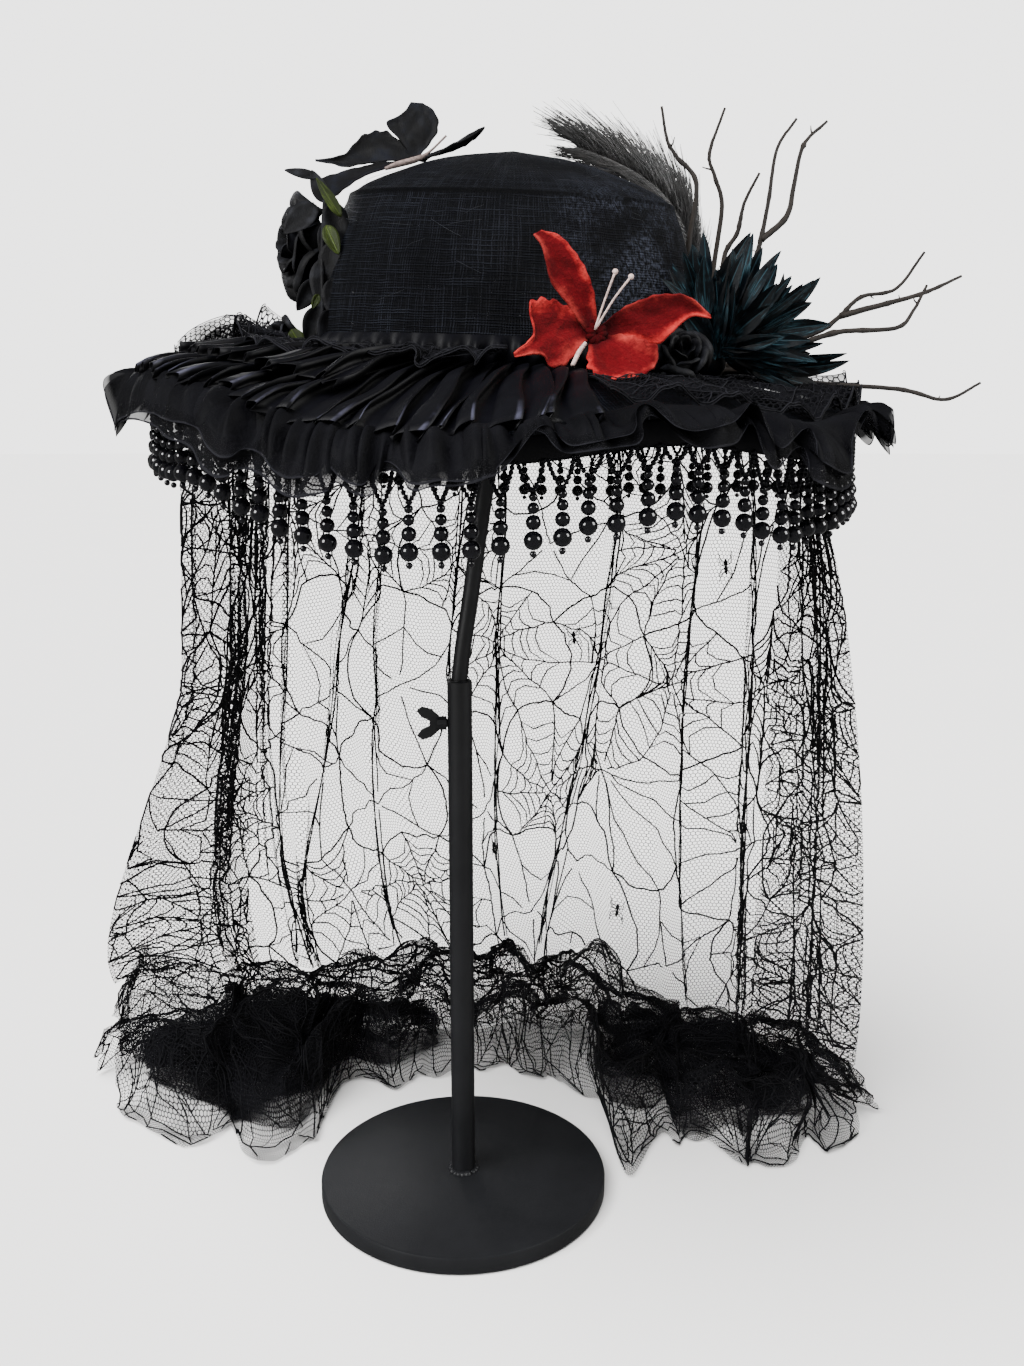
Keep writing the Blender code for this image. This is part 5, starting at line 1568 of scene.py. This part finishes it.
def scribble(sheet, count, seed, start, end, thickness):
    """Threads of lace that wander over a rumpled sheet."""
    dice = np.random.default_rng(seed)
    routes = []
    for _ in range(count):
        steps = int(dice.uniform(12, 34))
        turn = dice.uniform(0.0, TAU) + np.cumsum(dice.normal(0.0, 0.42, steps))
        stretch = np.stack((np.cos(turn) * 1.25, np.sin(turn) * 0.8), -1) * 0.0034
        first = np.array((dice.uniform(0.0, sheet.width), dice.uniform(start, end)))
        points = first + np.cumsum(stretch, axis=0)
        points = points[(points[:, 1] > start) & (points[:, 1] < end)]
        if len(points) > 3:
            places = sheet.at(points)
            routes.append((places + (0, -0.0006, 0.0006), thickness / 2 * dice.uniform(0.6, 1.2)))
    return routes


def make_veil():
    """The curtain's net, its creases, webs and spiders."""
    trim = sizes()
    columns, rows = 540, 54
    places = curtain_places(columns, rows)
    width = LEFT_TURN + trim.veil_width + RIGHT_TURN
    mesh = laid_grid("curtain", places, (width, VEIL_FALL))
    piece = add_piece("veil_curtain_net", mesh, net("black_veil_net", trim.net_pitch, 0.125))
    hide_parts("veil_curtain")
    sheet = Cloth(places, width, 0.0, VEIL_FALL)
    routes = mapped_lines(sheet, web_lines(0.0, VEIL_FALL, width), trim.lace_thread)
    routes += spiders(sheet, SPIDERS) + crease_lines()
    web_piece = add_piece("veil_curtain_webs", strands("curtain webs", routes), lace_thread())


def make_pool():
    """The heap's net, its under layers, webs and loose threads."""
    noise.seed_set(RUMPLE_SEED)
    trim = sizes()
    thread = lace_thread()
    end = VEIL_FALL + POOL_RUN
    places = heap_places(400, 64, 1.0, 1)
    mesh = laid_grid("pool", places, (trim.veil_width, POOL_RUN))
    crushed = net("black_pool_net", trim.net_pitch * POOL_NET_SHARE, 0.15, 0.30)
    piece = add_piece("veil_pool_net", mesh, crushed)
    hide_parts("veil_pool")
    sheet = Cloth(places, trim.veil_width, VEIL_FALL, end)
    routes = mapped_lines(sheet, web_lines(VEIL_FALL, end, trim.veil_width), trim.lace_thread * 0.85)
    routes += scribble(sheet, 200, 5, VEIL_FALL + 0.02, end - 0.01, trim.lace_thread * 0.8)
    routes += scribble(sheet, 90, 6, end - 0.085, end - 0.006, trim.lace_thread * 0.7)
    routes += crest_lines(sheet, 26, 8)
    web_piece = add_piece("veil_pool_webs", strands("pool webs", routes), thread)
    dense = net("black_pool_core", trim.net_pitch * POOL_NET_SHARE, 0.20, 0.80)
    layers, routes = [], []
    for number, (left, right, scale) in enumerate(POOL_LAYERS):
        columns = int(330 * (right - left))
        places = heap_places(columns, 36, scale, 20 + number, left, right, -0.7, 0.95, 1.25)
        wide = trim.veil_width * (right - left)
        layers.append(laid_grid("fold", places, (wide, POOL_LAYER_RUN)))
        sheet = Cloth(places, wide, 0.0, POOL_LAYER_RUN)
        routes += scribble(sheet, int(70 * wide), 60 + number, 0.01, 0.14, trim.lace_thread)
    piece = add_piece("veil_pool_folds", joined("folds", layers), dense)
    loose = add_piece("veil_pool_loose_threads", strands("threads", routes), thread)


# Butterflies

RED_FLY_ROOT = (0.0580, -0.1020, 0.4590)
RED_WINGS = (
    # angle, lean, roll, scallop, then rows of along, over, under (mm)
    (
        (121.0, 3.0, 0.0, 0.02),
        (
            (-1.0, 1.5, 1.5), (8.0, 2.4, 5.4), (17.5, 3.2, 8.8), (27.5, 4.6, 10.2), (35.0, 3.0, 9.6),
            (42.5, 0.8, 7.8), (48.5, 1.4, 2.6),
        ),
    ),
    (
        (10.0, 2.0, 0.0, 0.02),
        (
            (-1.0, 2.0, 1.8), (8.0, 7.0, 2.2), (15.0, 10.2, 3.6), (25.5, 12.3, 7.1), (31.5, 12.2, 3.8),
            (41.0, 9.8, -1.6), (49.5, 1.0, 0.6),
        ),
    ),
    (
        (193.0, 27.0, 15.0, 0.05),
        (
            (-1.0, 1.5, 1.5), (5.5, 1.2, 11.5), (12.0, 4.8, 17.0), (20.0, 9.2, 19.8),
            (26.0, 8.6, 18.4), (28.5, 2.8, 6.5), (40.0, 1.0, 0.8),
        ),
    ),
    (
        (-40.0, 40.0, -25.0, 0.06),
        (
            (-1.0, 1.5, 1.5), (6.5, 7.6, 9.4), (13.5, 10.2, 14.6), (20.5, 11.8, 15.0),
            (27.0, 12.0, 10.6), (31.5, 5.0, 4.0),
        ),
    ),
)
RED_BODY = (
    # x, y, z, radius
    (0.0475, -0.1160, 0.4470, 0.0009),
    (0.0505, -0.1115, 0.4525, 0.0010),
    (0.0535, -0.1080, 0.4565, 0.0008),
)
RED_STEM = (
    (0.0575, -0.1062, 0.4620, 0.0005),
    (0.0615, -0.1070, 0.4740, 0.00045),
    (0.0655, -0.1085, 0.4850, 0.0005),
)
RED_FEELER = (
    (0.0580, -0.1062, 0.4625, 0.0005),
    (0.0650, -0.1080, 0.4740, 0.00045),
    (0.0720, -0.1090, 0.4830, 0.0005),
)
CROWN_FLY_ROOT = (-0.0205, -0.0120, 0.5470)
CROWN_WINGS = (
    (
        (88.0, 0.0, 0.0, 0.03),
        (
            (-1.0, 1.2, 1.2), (5.0, 3.0, 6.0), (11.0, 8.4, 10.6), (15.5, 12.6, 12.2),
            (18.0, 8.6, 12.0), (22.0, 3.4, 10.2), (25.5, 1.0, 4.6),
        ),
    ),
    (
        (180.0, -4.0, 8.0, 0.05),
        (
            (-1.0, 1.2, 1.2), (9.0, 0.6, 11.5), (16.0, 1.4, 13.4), (25.0, 2.4, 9.5), (31.0, 3.6, 3.0),
            (38.0, 1.6, 0.8), (46.0, 0.3, 0.5),
        ),
    ),
    (
        (199.0, 10.0, 30.0, 0.04),
        (
            (-1.0, 1.2, 1.2), (12.0, 1.2, 3.0), (24.0, 2.0, 4.0), (34.0, 5.0, 5.0), (42.0, 7.0, 5.0),
            (48.0, 2.0, 2.0),
        ),
    ),
    (
        (23.0, -4.0, 94.0, 0.04),
        (
            (-1.0, 1.2, 1.2), (8.0, 1.6, 8.0), (18.0, 2.6, 12.0), (28.0, 2.6, 10.0), (38.0, 1.0, 1.0),
        ),
    ),
)
CROWN_BODY = (
    (-0.0330, -0.0175, 0.5420, 0.0008),
    (-0.0270, -0.0165, 0.5442, 0.0014),
    (-0.0180, -0.0162, 0.5467, 0.0014),
    (-0.0120, -0.0162, 0.5500, 0.0006),
    (-0.0040, -0.0172, 0.5570, 0.0005),
)


def wing(root, pose, rows, cup, seed):
    """A cupped wing with a rippled edge, its map running along and across it."""
    angle, lean, roll, scallop = pose
    knots = smooth_route(table(rows) / 1000.0, 6)
    share, way = grid_shares(22, len(knots) - 1)
    along, over, under = (knots[:, column][:, None] for column in range(3))
    ripple = 1.0 + scallop * np.sin(along * 1100.0 + seed) * (np.abs(share - 0.5) > 0.4)
    across = (-under + (over + under) * share) * ripple
    spread = 0.010 * (2.0 * share - 1.0) ** 2
    lift = cup * spread * np.sin(math.pi * way)
    lift = lift + 0.0010 * ridges(across * 330.0, along * 240.0, seed)
    edge = np.minimum(1.0, way * 6.0)
    local = stacked(along, across, lift * edge)
    return turned_grid("wing", set_down(local, wing_frame(root, angle, lean, roll)))


def make_butterflies():
    """The red and the crown butterfly, with their bodies and feelers."""
    red = velvet()
    wings = [wing(RED_FLY_ROOT, *row, 0.25, 3 + index) for index, row in enumerate(RED_WINGS)]
    piece = thicken(add_piece("red_butterfly_wings", joined("wings", wings), red), 0.0009)
    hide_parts("red_butterfly")
    routes = []
    for body in (RED_BODY, RED_STEM, RED_FEELER):
        line = smooth_route(body, 6)
        routes.append((line[:, :3], line[:, 3]))
    knob = Matrix.Diagonal((0.0013, 0.0008, 0.0012, 1.0))
    tips = [Matrix.Translation(row[:3]) @ knob for row in (RED_STEM[-1], RED_FEELER[-1])]
    knobs = repeated("knobs", ball(10, 6), tips)
    body = joined("body", [strands("body", routes, 10), knobs])
    piece = add_piece("red_butterfly_feelers", body, stamen())
    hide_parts("red_butterfly_body")
    dark = silk("black_wing_silk", (0.0045, 0.0056, 0.0100, 1.0), 0.8)
    wings = [wing(CROWN_FLY_ROOT, *row, 0.2, 13 + index) for index, row in enumerate(CROWN_WINGS)]
    piece = thicken(add_piece("crown_butterfly_wings", joined("wings", wings), dark), 0.0008)
    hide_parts("crown_butterfly")
    line = smooth_route(CROWN_BODY, 6)
    body = strands("body", [(line[:, :3], line[:, 3])], 10)
    piece = add_piece("crown_butterfly_feelers", body, stamen("grey_stamen", 0.34))
    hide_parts("crown_butterfly_body")
    core = Matrix.Translation(Vector(RED_FLY_ROOT) + Vector((0.0005, -0.0030, 0.0015)))
    lump = Matrix.Translation((0.0024, 0, 0)) @ Matrix.Diagonal((0.0026, 0.0016, 0.0017, 1.0))
    ruff = [core @ Matrix.Rotation(TAU * index / 9, 4, "Y") @ lump for index in range(9)]
    add_piece("red_butterfly_heart", repeated("heart", ball(8, 5), ruff), wine_felt())


# Roses and their leaves

ROSES = (
    # name, centre, axis, radius, depth, petals
    ("left_rose", (-0.0750, -0.0060, 0.5085), (-0.92, -0.38, 0.05), 0.0225, 0.0230, 17),
    ("left_rose_bud", (-0.0850, -0.0120, 0.4658), (-0.75, -0.60, 0.30), 0.0090, 0.0150, 8),
    ("right_rose", (0.0985, -0.0830, 0.4532), (0.10, -0.85, 0.50), 0.0125, 0.0190, 14),
)
LEFT_STEM = ((-0.0620, -0.0380, 0.4700), (-0.0615, -0.0375, 0.5000), (-0.0595, -0.0385, 0.5240))
LEFT_DARK_LEAVES = (
    # root, angle, length, width
    ((-0.0630, -0.0340, 0.5350), 172.0, 0.0150, 0.0045),
    ((-0.0600, -0.0330, 0.5240), 112.0, 0.0150, 0.0070),
    ((-0.0590, -0.0330, 0.5160), -88.0, 0.0220, 0.0110),
    ((-0.0605, -0.0330, 0.5000), -94.0, 0.0240, 0.0130),
    ((-0.0610, -0.0340, 0.4880), -84.0, 0.0220, 0.0120),
    ((-0.0640, -0.0350, 0.4780), -112.0, 0.0180, 0.0100),
    ((-0.0630, -0.0350, 0.4720), -70.0, 0.0150, 0.0100),
    ((-0.0640, -0.0320, 0.5230), -140.0, 0.0200, 0.0120),
    ((-0.0580, -0.0340, 0.5190), -62.0, 0.0120, 0.0070),
    ((-0.0650, -0.0330, 0.4900), -125.0, 0.0170, 0.0090),
    ((-0.0560, -0.0400, 0.5235), -84.0, 0.0230, 0.0120),
    ((-0.0562, -0.0400, 0.5060), -97.0, 0.0220, 0.0120),
    ((-0.0568, -0.0405, 0.4900), -86.0, 0.0200, 0.0110),
    ((-0.0580, -0.0410, 0.4760), -100.0, 0.0180, 0.0110),
)
LEFT_LEAVES = (
    # root, angle, length, width
    ((-0.0519, -0.0430, 0.5162), 125.0, 0.0194, 0.0052),
    ((-0.0590, -0.0430, 0.5125), -66.0, 0.0142, 0.0070),
    ((-0.0633, -0.0425, 0.4824), -114.0, 0.0070, 0.0034),
    ((-0.0762, -0.0430, 0.4668), -58.0, 0.0114, 0.0072),
)


def petal(turn, reach, depth, top, open_out, seed):
    """A curled petal round the flower's axis: v runs from its foot to its rim."""
    share, way = grid_shares(12, 10)
    half = 1.05 - 0.25 * open_out
    angle = turn + (share - 0.5) * 2.0 * half
    bow = 1.0 - 0.55 * (2.0 * share - 1.0) ** 4
    out = reach * (0.30 + 0.70 * way**0.7) * (1.0 + 0.16 * open_out * way**6)
    rise = depth * (-0.5 + (top + 0.5) * np.sin(math.pi / 2 * way**0.85) * bow)
    rise = rise - depth * 0.14 * open_out * way**8
    out = out + reach * 0.035 * ridges(angle * 4.0, way * 5.0, seed) * way
    return stacked(out * np.cos(angle), out * np.sin(angle), rise)


def leaf_places(extent, width, curl, fold, bend=0.0):
    """A pointed leaf along X, folded on its midrib and curled along its length."""
    share, way = grid_shares(6, 14)
    half = width / 2 * np.sin(math.pi * way**0.75) ** 0.8 + 0.0002
    across = (2.0 * share - 1.0) * half
    lift = np.abs(across) * fold + curl * extent * way**2
    return stacked(extent * way, across + bend * extent * way**2, lift)


def make_roses():
    """The roses and the bud, and the left rose's stem and leaves."""
    black = silk("black_rose_silk", (0.020, 0.021, 0.026, 1.0), 0.6)
    for seed, (name, centre, axis, radius, depth, count) in enumerate(ROSES):
        axis = Vector(axis).normalized()
        side = axis.cross(Vector((0.0, 0.0, 1.0))).normalized()
        place = turn_frame(Vector(centre), side, axis.cross(side))
        meshes = []
        for index in range(count):
            share = (index + 1) / count
            reach = radius * (0.12 + 0.88 * share**0.8)
            top = 0.50 - 0.26 * share
            spot = petal(index * PETAL_TURN, reach, depth, top, share**1.5, seed * 40 + index)
            meshes.append(laid_grid("petal", set_down(spot, place), (1.0, 1.0)))
        cup = turned("cup", [(0.0, -0.52), (0.4, -0.47), (0.75, -0.20), (0.55, 0.05), (0.0, 0.10)], 20)
        cup.transform(place @ Matrix.Diagonal((radius, radius, depth, 1.0)))
        meshes.append(cup)
        piece = thicken(add_piece(f"{name}_petals", joined(name, meshes), black), 0.0005)
        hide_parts(name)
    add_piece("left_rose_stem", strands("stem", [(smooth_route(LEFT_STEM), 0.0011)], 8), black)
    thicken(add_piece("left_rose_dark_leaves", blades(LEFT_DARK_LEAVES), black), 0.0004)
    green = leaf("green_silk_leaf", shade(colours().leaf, 0.22), shade(colours().leaf, 1.6), 1.0)
    piece = thicken(add_piece("left_rose_leaf_blades", blades(LEFT_LEAVES), green), 0.0004)
    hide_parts("left_rose_leaves")


def blades(rows):
    """Leaves from a table of root, angle, length and width, as one mesh."""
    meshes = []
    for index, (root, angle, extent, width) in enumerate(rows):
        curl = 0.12 * math.sin(index * 2.1 + 1.0)
        place = wing_frame(root, angle, 8.0 * math.sin(index), 20.0 * math.cos(index * 1.7))
        meshes.append(turned_grid("leaf", set_down(leaf_places(extent, width, curl, 0.3), place)))
    return joined("leaves", meshes)


# Leaf spray, twigs and plume

SPRAY_CORE = (0.1195, -0.0530, 0.4529)
SPRAY_TIPS = (
    # x, z of the leaf tips that show against the background (mm)
    (97.0, 469.0), (104.0, 475.0), (93.0, 499.0), (107.0, 497.0), (117.0, 490.0), (125.0, 500.0),
    (133.0, 506.0), (140.0, 491.0), (151.0, 494.0), (158.0, 481.0), (166.0, 488.0), (179.0, 447.0),
    (180.0, 454.0), (170.0, 440.0),
)
TWIG_KNOT = (0.1295, -0.0140, 0.4500)
TWIGS = (
    # whether it starts at the knot, then x, y, z of each bend (mm)
    (True, (123, -6, 480), (115, 0, 505), (118, 0, 539), (108, 0, 552), (103, 0, 560), (100, 0, 575)),
    (True, (127, -4, 478), (129, 6, 501), (133, 10, 531), (129, 10, 545), (126, 10, 556), (133, 10, 577)),
    (True, (130, -7, 480), (133, 0, 506), (139, 0, 517), (142, 0, 531), (149, 0, 545)),
    (True, (138, -10, 478), (147, -5, 503), (150, -5, 515), (153, -5, 533), (156, -5, 555), (165, -5, 569)),
    (False, (150, -5, 513), (162, -5, 524), (165, -5, 538), (169, -5, 557), (180, -5, 568)),
    (
        True,
        (142, -17, 457),
        (175, -18, 468),
        (186, -18, 475),
        (197, -18, 485),
        (214, -18, 489),
        (227, -18, 506),
    ),
    (False, (187, -18, 476), (206, -18, 481), (228, -18, 487), (246, -18, 495)),
    (True, (163, -24, 461), (185, -24, 468), (213, -24, 470), (221, -24, 478), (227, -24, 490)),
    (True, (143, -26, 449), (165, -28, 444), (214, -28, 441), (238, -28, 436), (255, -28, 444)),
)
PLUME_Y = 0.0420
PLUME_VANE = (
    # x, z of the quill, reach of the barbs over and under it (mm)
    (119.0, 448.2, 1.2, 1.2), (124.0, 480.0, 1.2, 1.2), (126.0, 503.0, 9.0, 4.0),
    (123.0, 518.0, 14.0, 7.0), (118.0, 530.0, 17.0, 11.0), (110.0, 541.0, 17.0, 13.0),
    (99.0, 550.0, 17.0, 14.0), (86.0, 557.0, 17.0, 12.0), (73.0, 562.0, 15.0, 9.0),
    (60.0, 566.0, 10.0, 4.0),
)


def make_spray():
    """The narrow leaves round the spray's core."""
    teal = leaf("teal_silk_leaf", (0.0010, 0.0022, 0.0034, 1.0), shade(colours().teal), 1.0)
    dice = np.random.default_rng(17)
    core = Vector(SPRAY_CORE)
    meshes = []
    ways = []
    for x, z in SPRAY_TIPS:
        tip = Vector((x / 1000, SPRAY_CORE[1] + dice.uniform(-0.014, 0.010), z / 1000))
        start = core.lerp(tip, dice.uniform(0.40, 0.52))
        ways.append((start, tip - start, dice.uniform(0.0066, 0.0090)))
    for index in range(SPRAY_LEAVES):
        angle = math.radians(-34.0 + 152.0 * ((index * 0.618) % 1.0) ** 1.15)
        low = angle < 0.25
        out = dice.uniform(0.0, 0.030) * (0.6 if low else 1.0)
        start = core + Vector((math.cos(angle), -0.35 * dice.uniform(-1.0, 1.0), math.sin(angle))) * out
        start.z += 0.006 if low else 0.0
        angle += dice.uniform(-0.5, 0.5) * (0.5 if low else 1.0)
        lean = dice.uniform(-0.45, 0.75)
        reach = min(dice.uniform(0.020, 0.034), 0.060 - out)
        way = Vector((math.cos(angle), -lean, math.sin(angle) * (0.5 if low else 1.0))).normalized() * reach
        ways.append((start, way, dice.uniform(0.0052, 0.0082)))
    for start, way, width in ways:
        along = way.normalized()
        across = along.cross(Vector((0.0, 1.0, 0.0))).normalized()
        across = Matrix.Rotation(dice.uniform(-1.1, 1.1), 3, along) @ across
        spot = leaf_places(way.length, width, dice.uniform(-0.26, 0.20), 0.45, dice.uniform(-0.16, 0.16))
        meshes.append(turned_grid("leaf", set_down(spot, turn_frame(start, along, across))))
    back = core + Vector((0.0, 0.012, 0.0))
    heart = repeated("heart", ball(12, 8), [Matrix.Translation(back) @ Matrix.Scale(0.0075, 4)])
    piece = add_piece("leaf_spray_blades", joined("spray", meshes + [heart]), teal)
    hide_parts("leaf_spray")


def make_twigs():
    """The twigs, tied in one knot."""
    dice = np.random.default_rng(29)
    routes = []
    for from_knot, *bends in TWIGS:
        route = [np.array(bend) / 1000.0 for bend in bends]
        if from_knot:
            route.insert(0, np.array(TWIG_KNOT))
        line = smooth_route(route, 10)
        count = len(line)
        line[1:-1] += dice.normal(0.0, 0.00005, (count - 2, 3))
        share = np.linspace(0.0, 1.0, count)
        radius = 0.00170 * (1.0 - 0.62 * share)
        for knot in dice.uniform(0.12, 0.95, 5):
            radius = radius * (1.0 + 0.22 * np.exp(-(((share - knot) / 0.016) ** 2)))
        routes.append((line, radius))
        at = int(dice.uniform(0.3, 0.9) * count)
        way = Vector(line[min(at + 2, count - 1)] - line[at]).normalized()
        side = Vector((-way.z, dice.uniform(-0.6, 0.6), way.x)) * dice.choice((-1, 1))
        tip = Vector(line[at]) + (way * 0.6 + side * 0.8) * dice.uniform(0.002, 0.006)
        mid = (Vector(line[at]) + tip) / 2 + Vector(dice.normal(0.0, 0.0005, 3))
        routes.append((np.array((line[at], mid, tip)), (0.00055, 0.0004, 0.0002)))
    knot = repeated("knot", ball(12, 8), [Matrix.Translation(TWIG_KNOT) @ Matrix.Scale(0.0042, 4)])
    twigs = joined("twigs", [strands("twigs", routes, 7), knot])
    piece = add_piece("twig_spray_bark", twigs, bark())
    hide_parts("twig_spray")


def make_plume():
    """The plume's quill and barbs."""
    dice = np.random.default_rng(31)
    vane = table(PLUME_VANE)
    quill = smooth_route(vane / 1000.0, 10)
    spine = np.stack((quill[:, 0], np.full(len(quill), PLUME_Y), quill[:, 1]), -1)
    share = np.linspace(0.0, 1.0, len(quill))
    routes = [(spine, 0.0009 - 0.0007 * share)]
    ahead = np.gradient(spine, axis=0)
    ahead /= np.linalg.norm(ahead, axis=1, keepdims=True)
    for _ in range(PLUME_BARBS):
        at = dice.uniform(0.10, 0.97)
        spot = np.array([np.interp(at, share, spine[:, axis]) for axis in range(3)])
        way = np.array([np.interp(at, share, ahead[:, axis]) for axis in range(3)])
        side = np.array((way[2], 0.0, -way[0]))
        upper = dice.random() < 0.60
        reach = np.interp(at, share, quill[:, 2 if upper else 3]) * dice.uniform(0.35, 1.15) + 0.0025
        sign = 1.0 if upper else -1.0
        steps = np.linspace(0.0, 1.0, 4)[:, None]
        stray = side * dice.normal(0.0, 0.07) + way * dice.normal(0.0, 0.08)
        sweep = (way + stray * (0.6 + at)) * reach * (1.05 + 0.55 * steps) * steps
        depth = np.array((0.0, 1.0, 0.0)) * dice.normal(0.0, 0.22) * reach * steps
        curl = np.array((0.0, 0.0, -1.0)) * reach * 0.08 * steps**2 * dice.uniform(-0.3, 1.4)
        barb = spot + side * sign * reach * steps * (1.0 - 0.42 * steps) * dice.uniform(0.75, 1.05)
        routes.append((barb + sweep + depth + curl, np.linspace(0.00025, 0.00009, 4)))
    piece = add_piece("feather_plume_barbs", strands("barbs", routes), plumage())
    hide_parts("feather_plume")


# Stage


def make_stage():
    """The floor, the lights and the camera."""
    bm = bmesh.new()
    bmesh.ops.create_circle(bm, cap_ends=True, segments=96, radius=FLOOR_RADIUS)
    mesh = to_mesh("studio_floor", bm)
    mesh.materials.append(floor_paper())
    floor = put("studio_floor", mesh)
    floor.visible_glossy = False
    world = bpy.data.worlds.new("studio_light")
    world.use_nodes = True
    tree = world.node_tree
    glow = tree.nodes["Background"]
    glow.inputs["Color"].default_value = (1.0, 0.995, 0.985, 1.0)
    seen = tree.nodes.new("ShaderNodeLightPath")
    bright = tree.nodes.new("ShaderNodeMapRange")
    bright.inputs["To Min"].default_value = ROOM_LIGHT
    bright.inputs["To Max"].default_value = BACKGROUND_LIGHT
    tree.links.new(seen.outputs["Is Camera Ray"], bright.inputs["Value"])
    tree.links.new(bright.outputs["Result"], glow.inputs["Strength"])
    bpy.context.scene.world = world
    sun = bpy.data.lights.new("window_light", "SUN")
    sun.energy = SUN_POWER
    sun.angle = SUN_SPREAD
    holder = put("window_light", sun)
    holder.rotation_euler = SUN_TURN
    holder.visible_glossy = False
    for name, place, size, power in LAMPS:
        lamp = bpy.data.lights.new(name, "AREA")
        lamp.energy = power
        lamp.size = size
        holder = put(name, lamp)
        holder.location = place
        aim = Vector(LAMP_AIM) - Vector(place)
        holder.rotation_euler = aim.to_track_quat("-Z", "Y").to_euler()
        holder.visible_diffuse = False
    lens = bpy.data.cameras.new("camera")
    lens.sensor_fit = "VERTICAL"
    lens.sensor_height = SENSOR_HEIGHT
    lens.lens = SENSOR_HEIGHT * FOCAL_PIXELS / FRAME_PIXELS
    camera = put("camera", lens)
    camera.location = CAMERA_PLACE
    camera.rotation_euler = CAMERA_TURN
    bpy.context.scene.camera = camera


# Operators


class BONNET_OT_stage(bpy.types.Operator):
    """Lay the floor and set up the lights and the camera."""

    bl_idname = "bonnet.stage"
    bl_label = "Stage"

    def execute(self, context):
        make_stage()
        return {"FINISHED"}


class BONNET_OT_stand(bpy.types.Operator):
    """Turn the stand's base and tube, bend its rod and paint its metal."""

    bl_idname = "bonnet.stand"
    bl_label = "Stand"

    def execute(self, context):
        make_stand()
        return {"FINISHED"}


class BONNET_OT_straw(bpy.types.Operator):
    """Weave the crown and the brim."""

    bl_idname = "bonnet.straw"
    bl_label = "Crown and brim"

    def execute(self, context):
        make_straw()
        return {"FINISHED"}


class BONNET_OT_satin(bpy.types.Operator):
    """Gather the satin band and lay the knife pleats."""

    bl_idname = "bonnet.satin"
    bl_label = "Band and pleats"

    def execute(self, context):
        make_satin()
        return {"FINISHED"}


class BONNET_OT_frills(bpy.types.Operator):
    """Gather the net frills on the brim."""

    bl_idname = "bonnet.frills"
    bl_label = "Net frills"

    def execute(self, context):
        make_frills()
        return {"FINISHED"}


class BONNET_OT_ruffle(bpy.types.Operator):
    """Hang the organza ruffle at the brim's edge."""

    bl_idname = "bonnet.ruffle"
    bl_label = "Edge ruffle"

    def execute(self, context):
        make_ruffle()
        return {"FINISHED"}


class BONNET_OT_fringe(bpy.types.Operator):
    """String the bead fringe under the brim."""

    bl_idname = "bonnet.fringe"
    bl_label = "Bead fringe"

    def execute(self, context):
        make_fringe()
        return {"FINISHED"}


class BONNET_OT_veil(bpy.types.Operator):
    """Hang the veil and its web lace."""

    bl_idname = "bonnet.veil"
    bl_label = "Veil"

    def execute(self, context):
        make_veil()
        return {"FINISHED"}


class BONNET_OT_pool(bpy.types.Operator):
    """Heap the rest of the veil on the floor."""

    bl_idname = "bonnet.pool"
    bl_label = "Veil on the floor"

    def execute(self, context):
        make_pool()
        return {"FINISHED"}


class BONNET_OT_butterflies(bpy.types.Operator):
    """Shape the red and the black butterfly."""

    bl_idname = "bonnet.butterflies"
    bl_label = "Butterflies"

    def execute(self, context):
        make_butterflies()
        return {"FINISHED"}


class BONNET_OT_roses(bpy.types.Operator):
    """Curl the roses' petals and their leaves."""

    bl_idname = "bonnet.roses"
    bl_label = "Roses"

    def execute(self, context):
        make_roses()
        return {"FINISHED"}


class BONNET_OT_spray(bpy.types.Operator):
    """Fan out the teal leaves and the twigs."""

    bl_idname = "bonnet.spray"
    bl_label = "Leaf and twig sprays"

    def execute(self, context):
        make_spray()
        make_twigs()
        return {"FINISHED"}


class BONNET_OT_plume(bpy.types.Operator):
    """Set the plume's barbs along its quill."""

    bl_idname = "bonnet.plume"
    bl_label = "Plume"

    def execute(self, context):
        make_plume()
        return {"FINISHED"}


OPERATORS = (
    BONNET_OT_stage,
    BONNET_OT_stand,
    BONNET_OT_straw,
    BONNET_OT_satin,
    BONNET_OT_frills,
    BONNET_OT_ruffle,
    BONNET_OT_fringe,
    BONNET_OT_veil,
    BONNET_OT_pool,
    BONNET_OT_butterflies,
    BONNET_OT_roses,
    BONNET_OT_spray,
    BONNET_OT_plume,
)


class BONNET_PT_panel(bpy.types.Panel):
    """Sizes, colours and makers of the bonnet."""

    bl_label = "Bonnet"
    bl_idname = "BONNET_PT_panel"
    bl_space_type = "VIEW_3D"
    bl_region_type = "UI"
    bl_category = "Bonnet"

    def draw(self, context):
        for group in (context.scene.bonnet_sizes, context.scene.bonnet_colours):
            box = self.layout.box()
            for name in group.__annotations__:
                box.prop(group, name)
        for operator in OPERATORS:
            self.layout.operator(operator.bl_idname)


CLASSES = (BonnetSizes, BonnetColours, *OPERATORS, BONNET_PT_panel)


def register():
    """Add the classes and their settings to Blender."""
    for item in CLASSES:
        bpy.utils.register_class(item)
    bpy.types.Scene.bonnet_sizes = bpy.props.PointerProperty(type=BonnetSizes)
    bpy.types.Scene.bonnet_colours = bpy.props.PointerProperty(type=BonnetColours)


def unregister():
    """Take them out again."""
    del bpy.types.Scene.bonnet_sizes
    del bpy.types.Scene.bonnet_colours
    for item in reversed(CLASSES):
        bpy.utils.unregister_class(item)


def main():
    """Make every piece with the settings as they stand."""
    register()
    for operator in OPERATORS:
        group, name = operator.bl_idname.split(".")
        getattr(getattr(bpy.ops, group), name)()


if __name__ == "__main__":
    main()
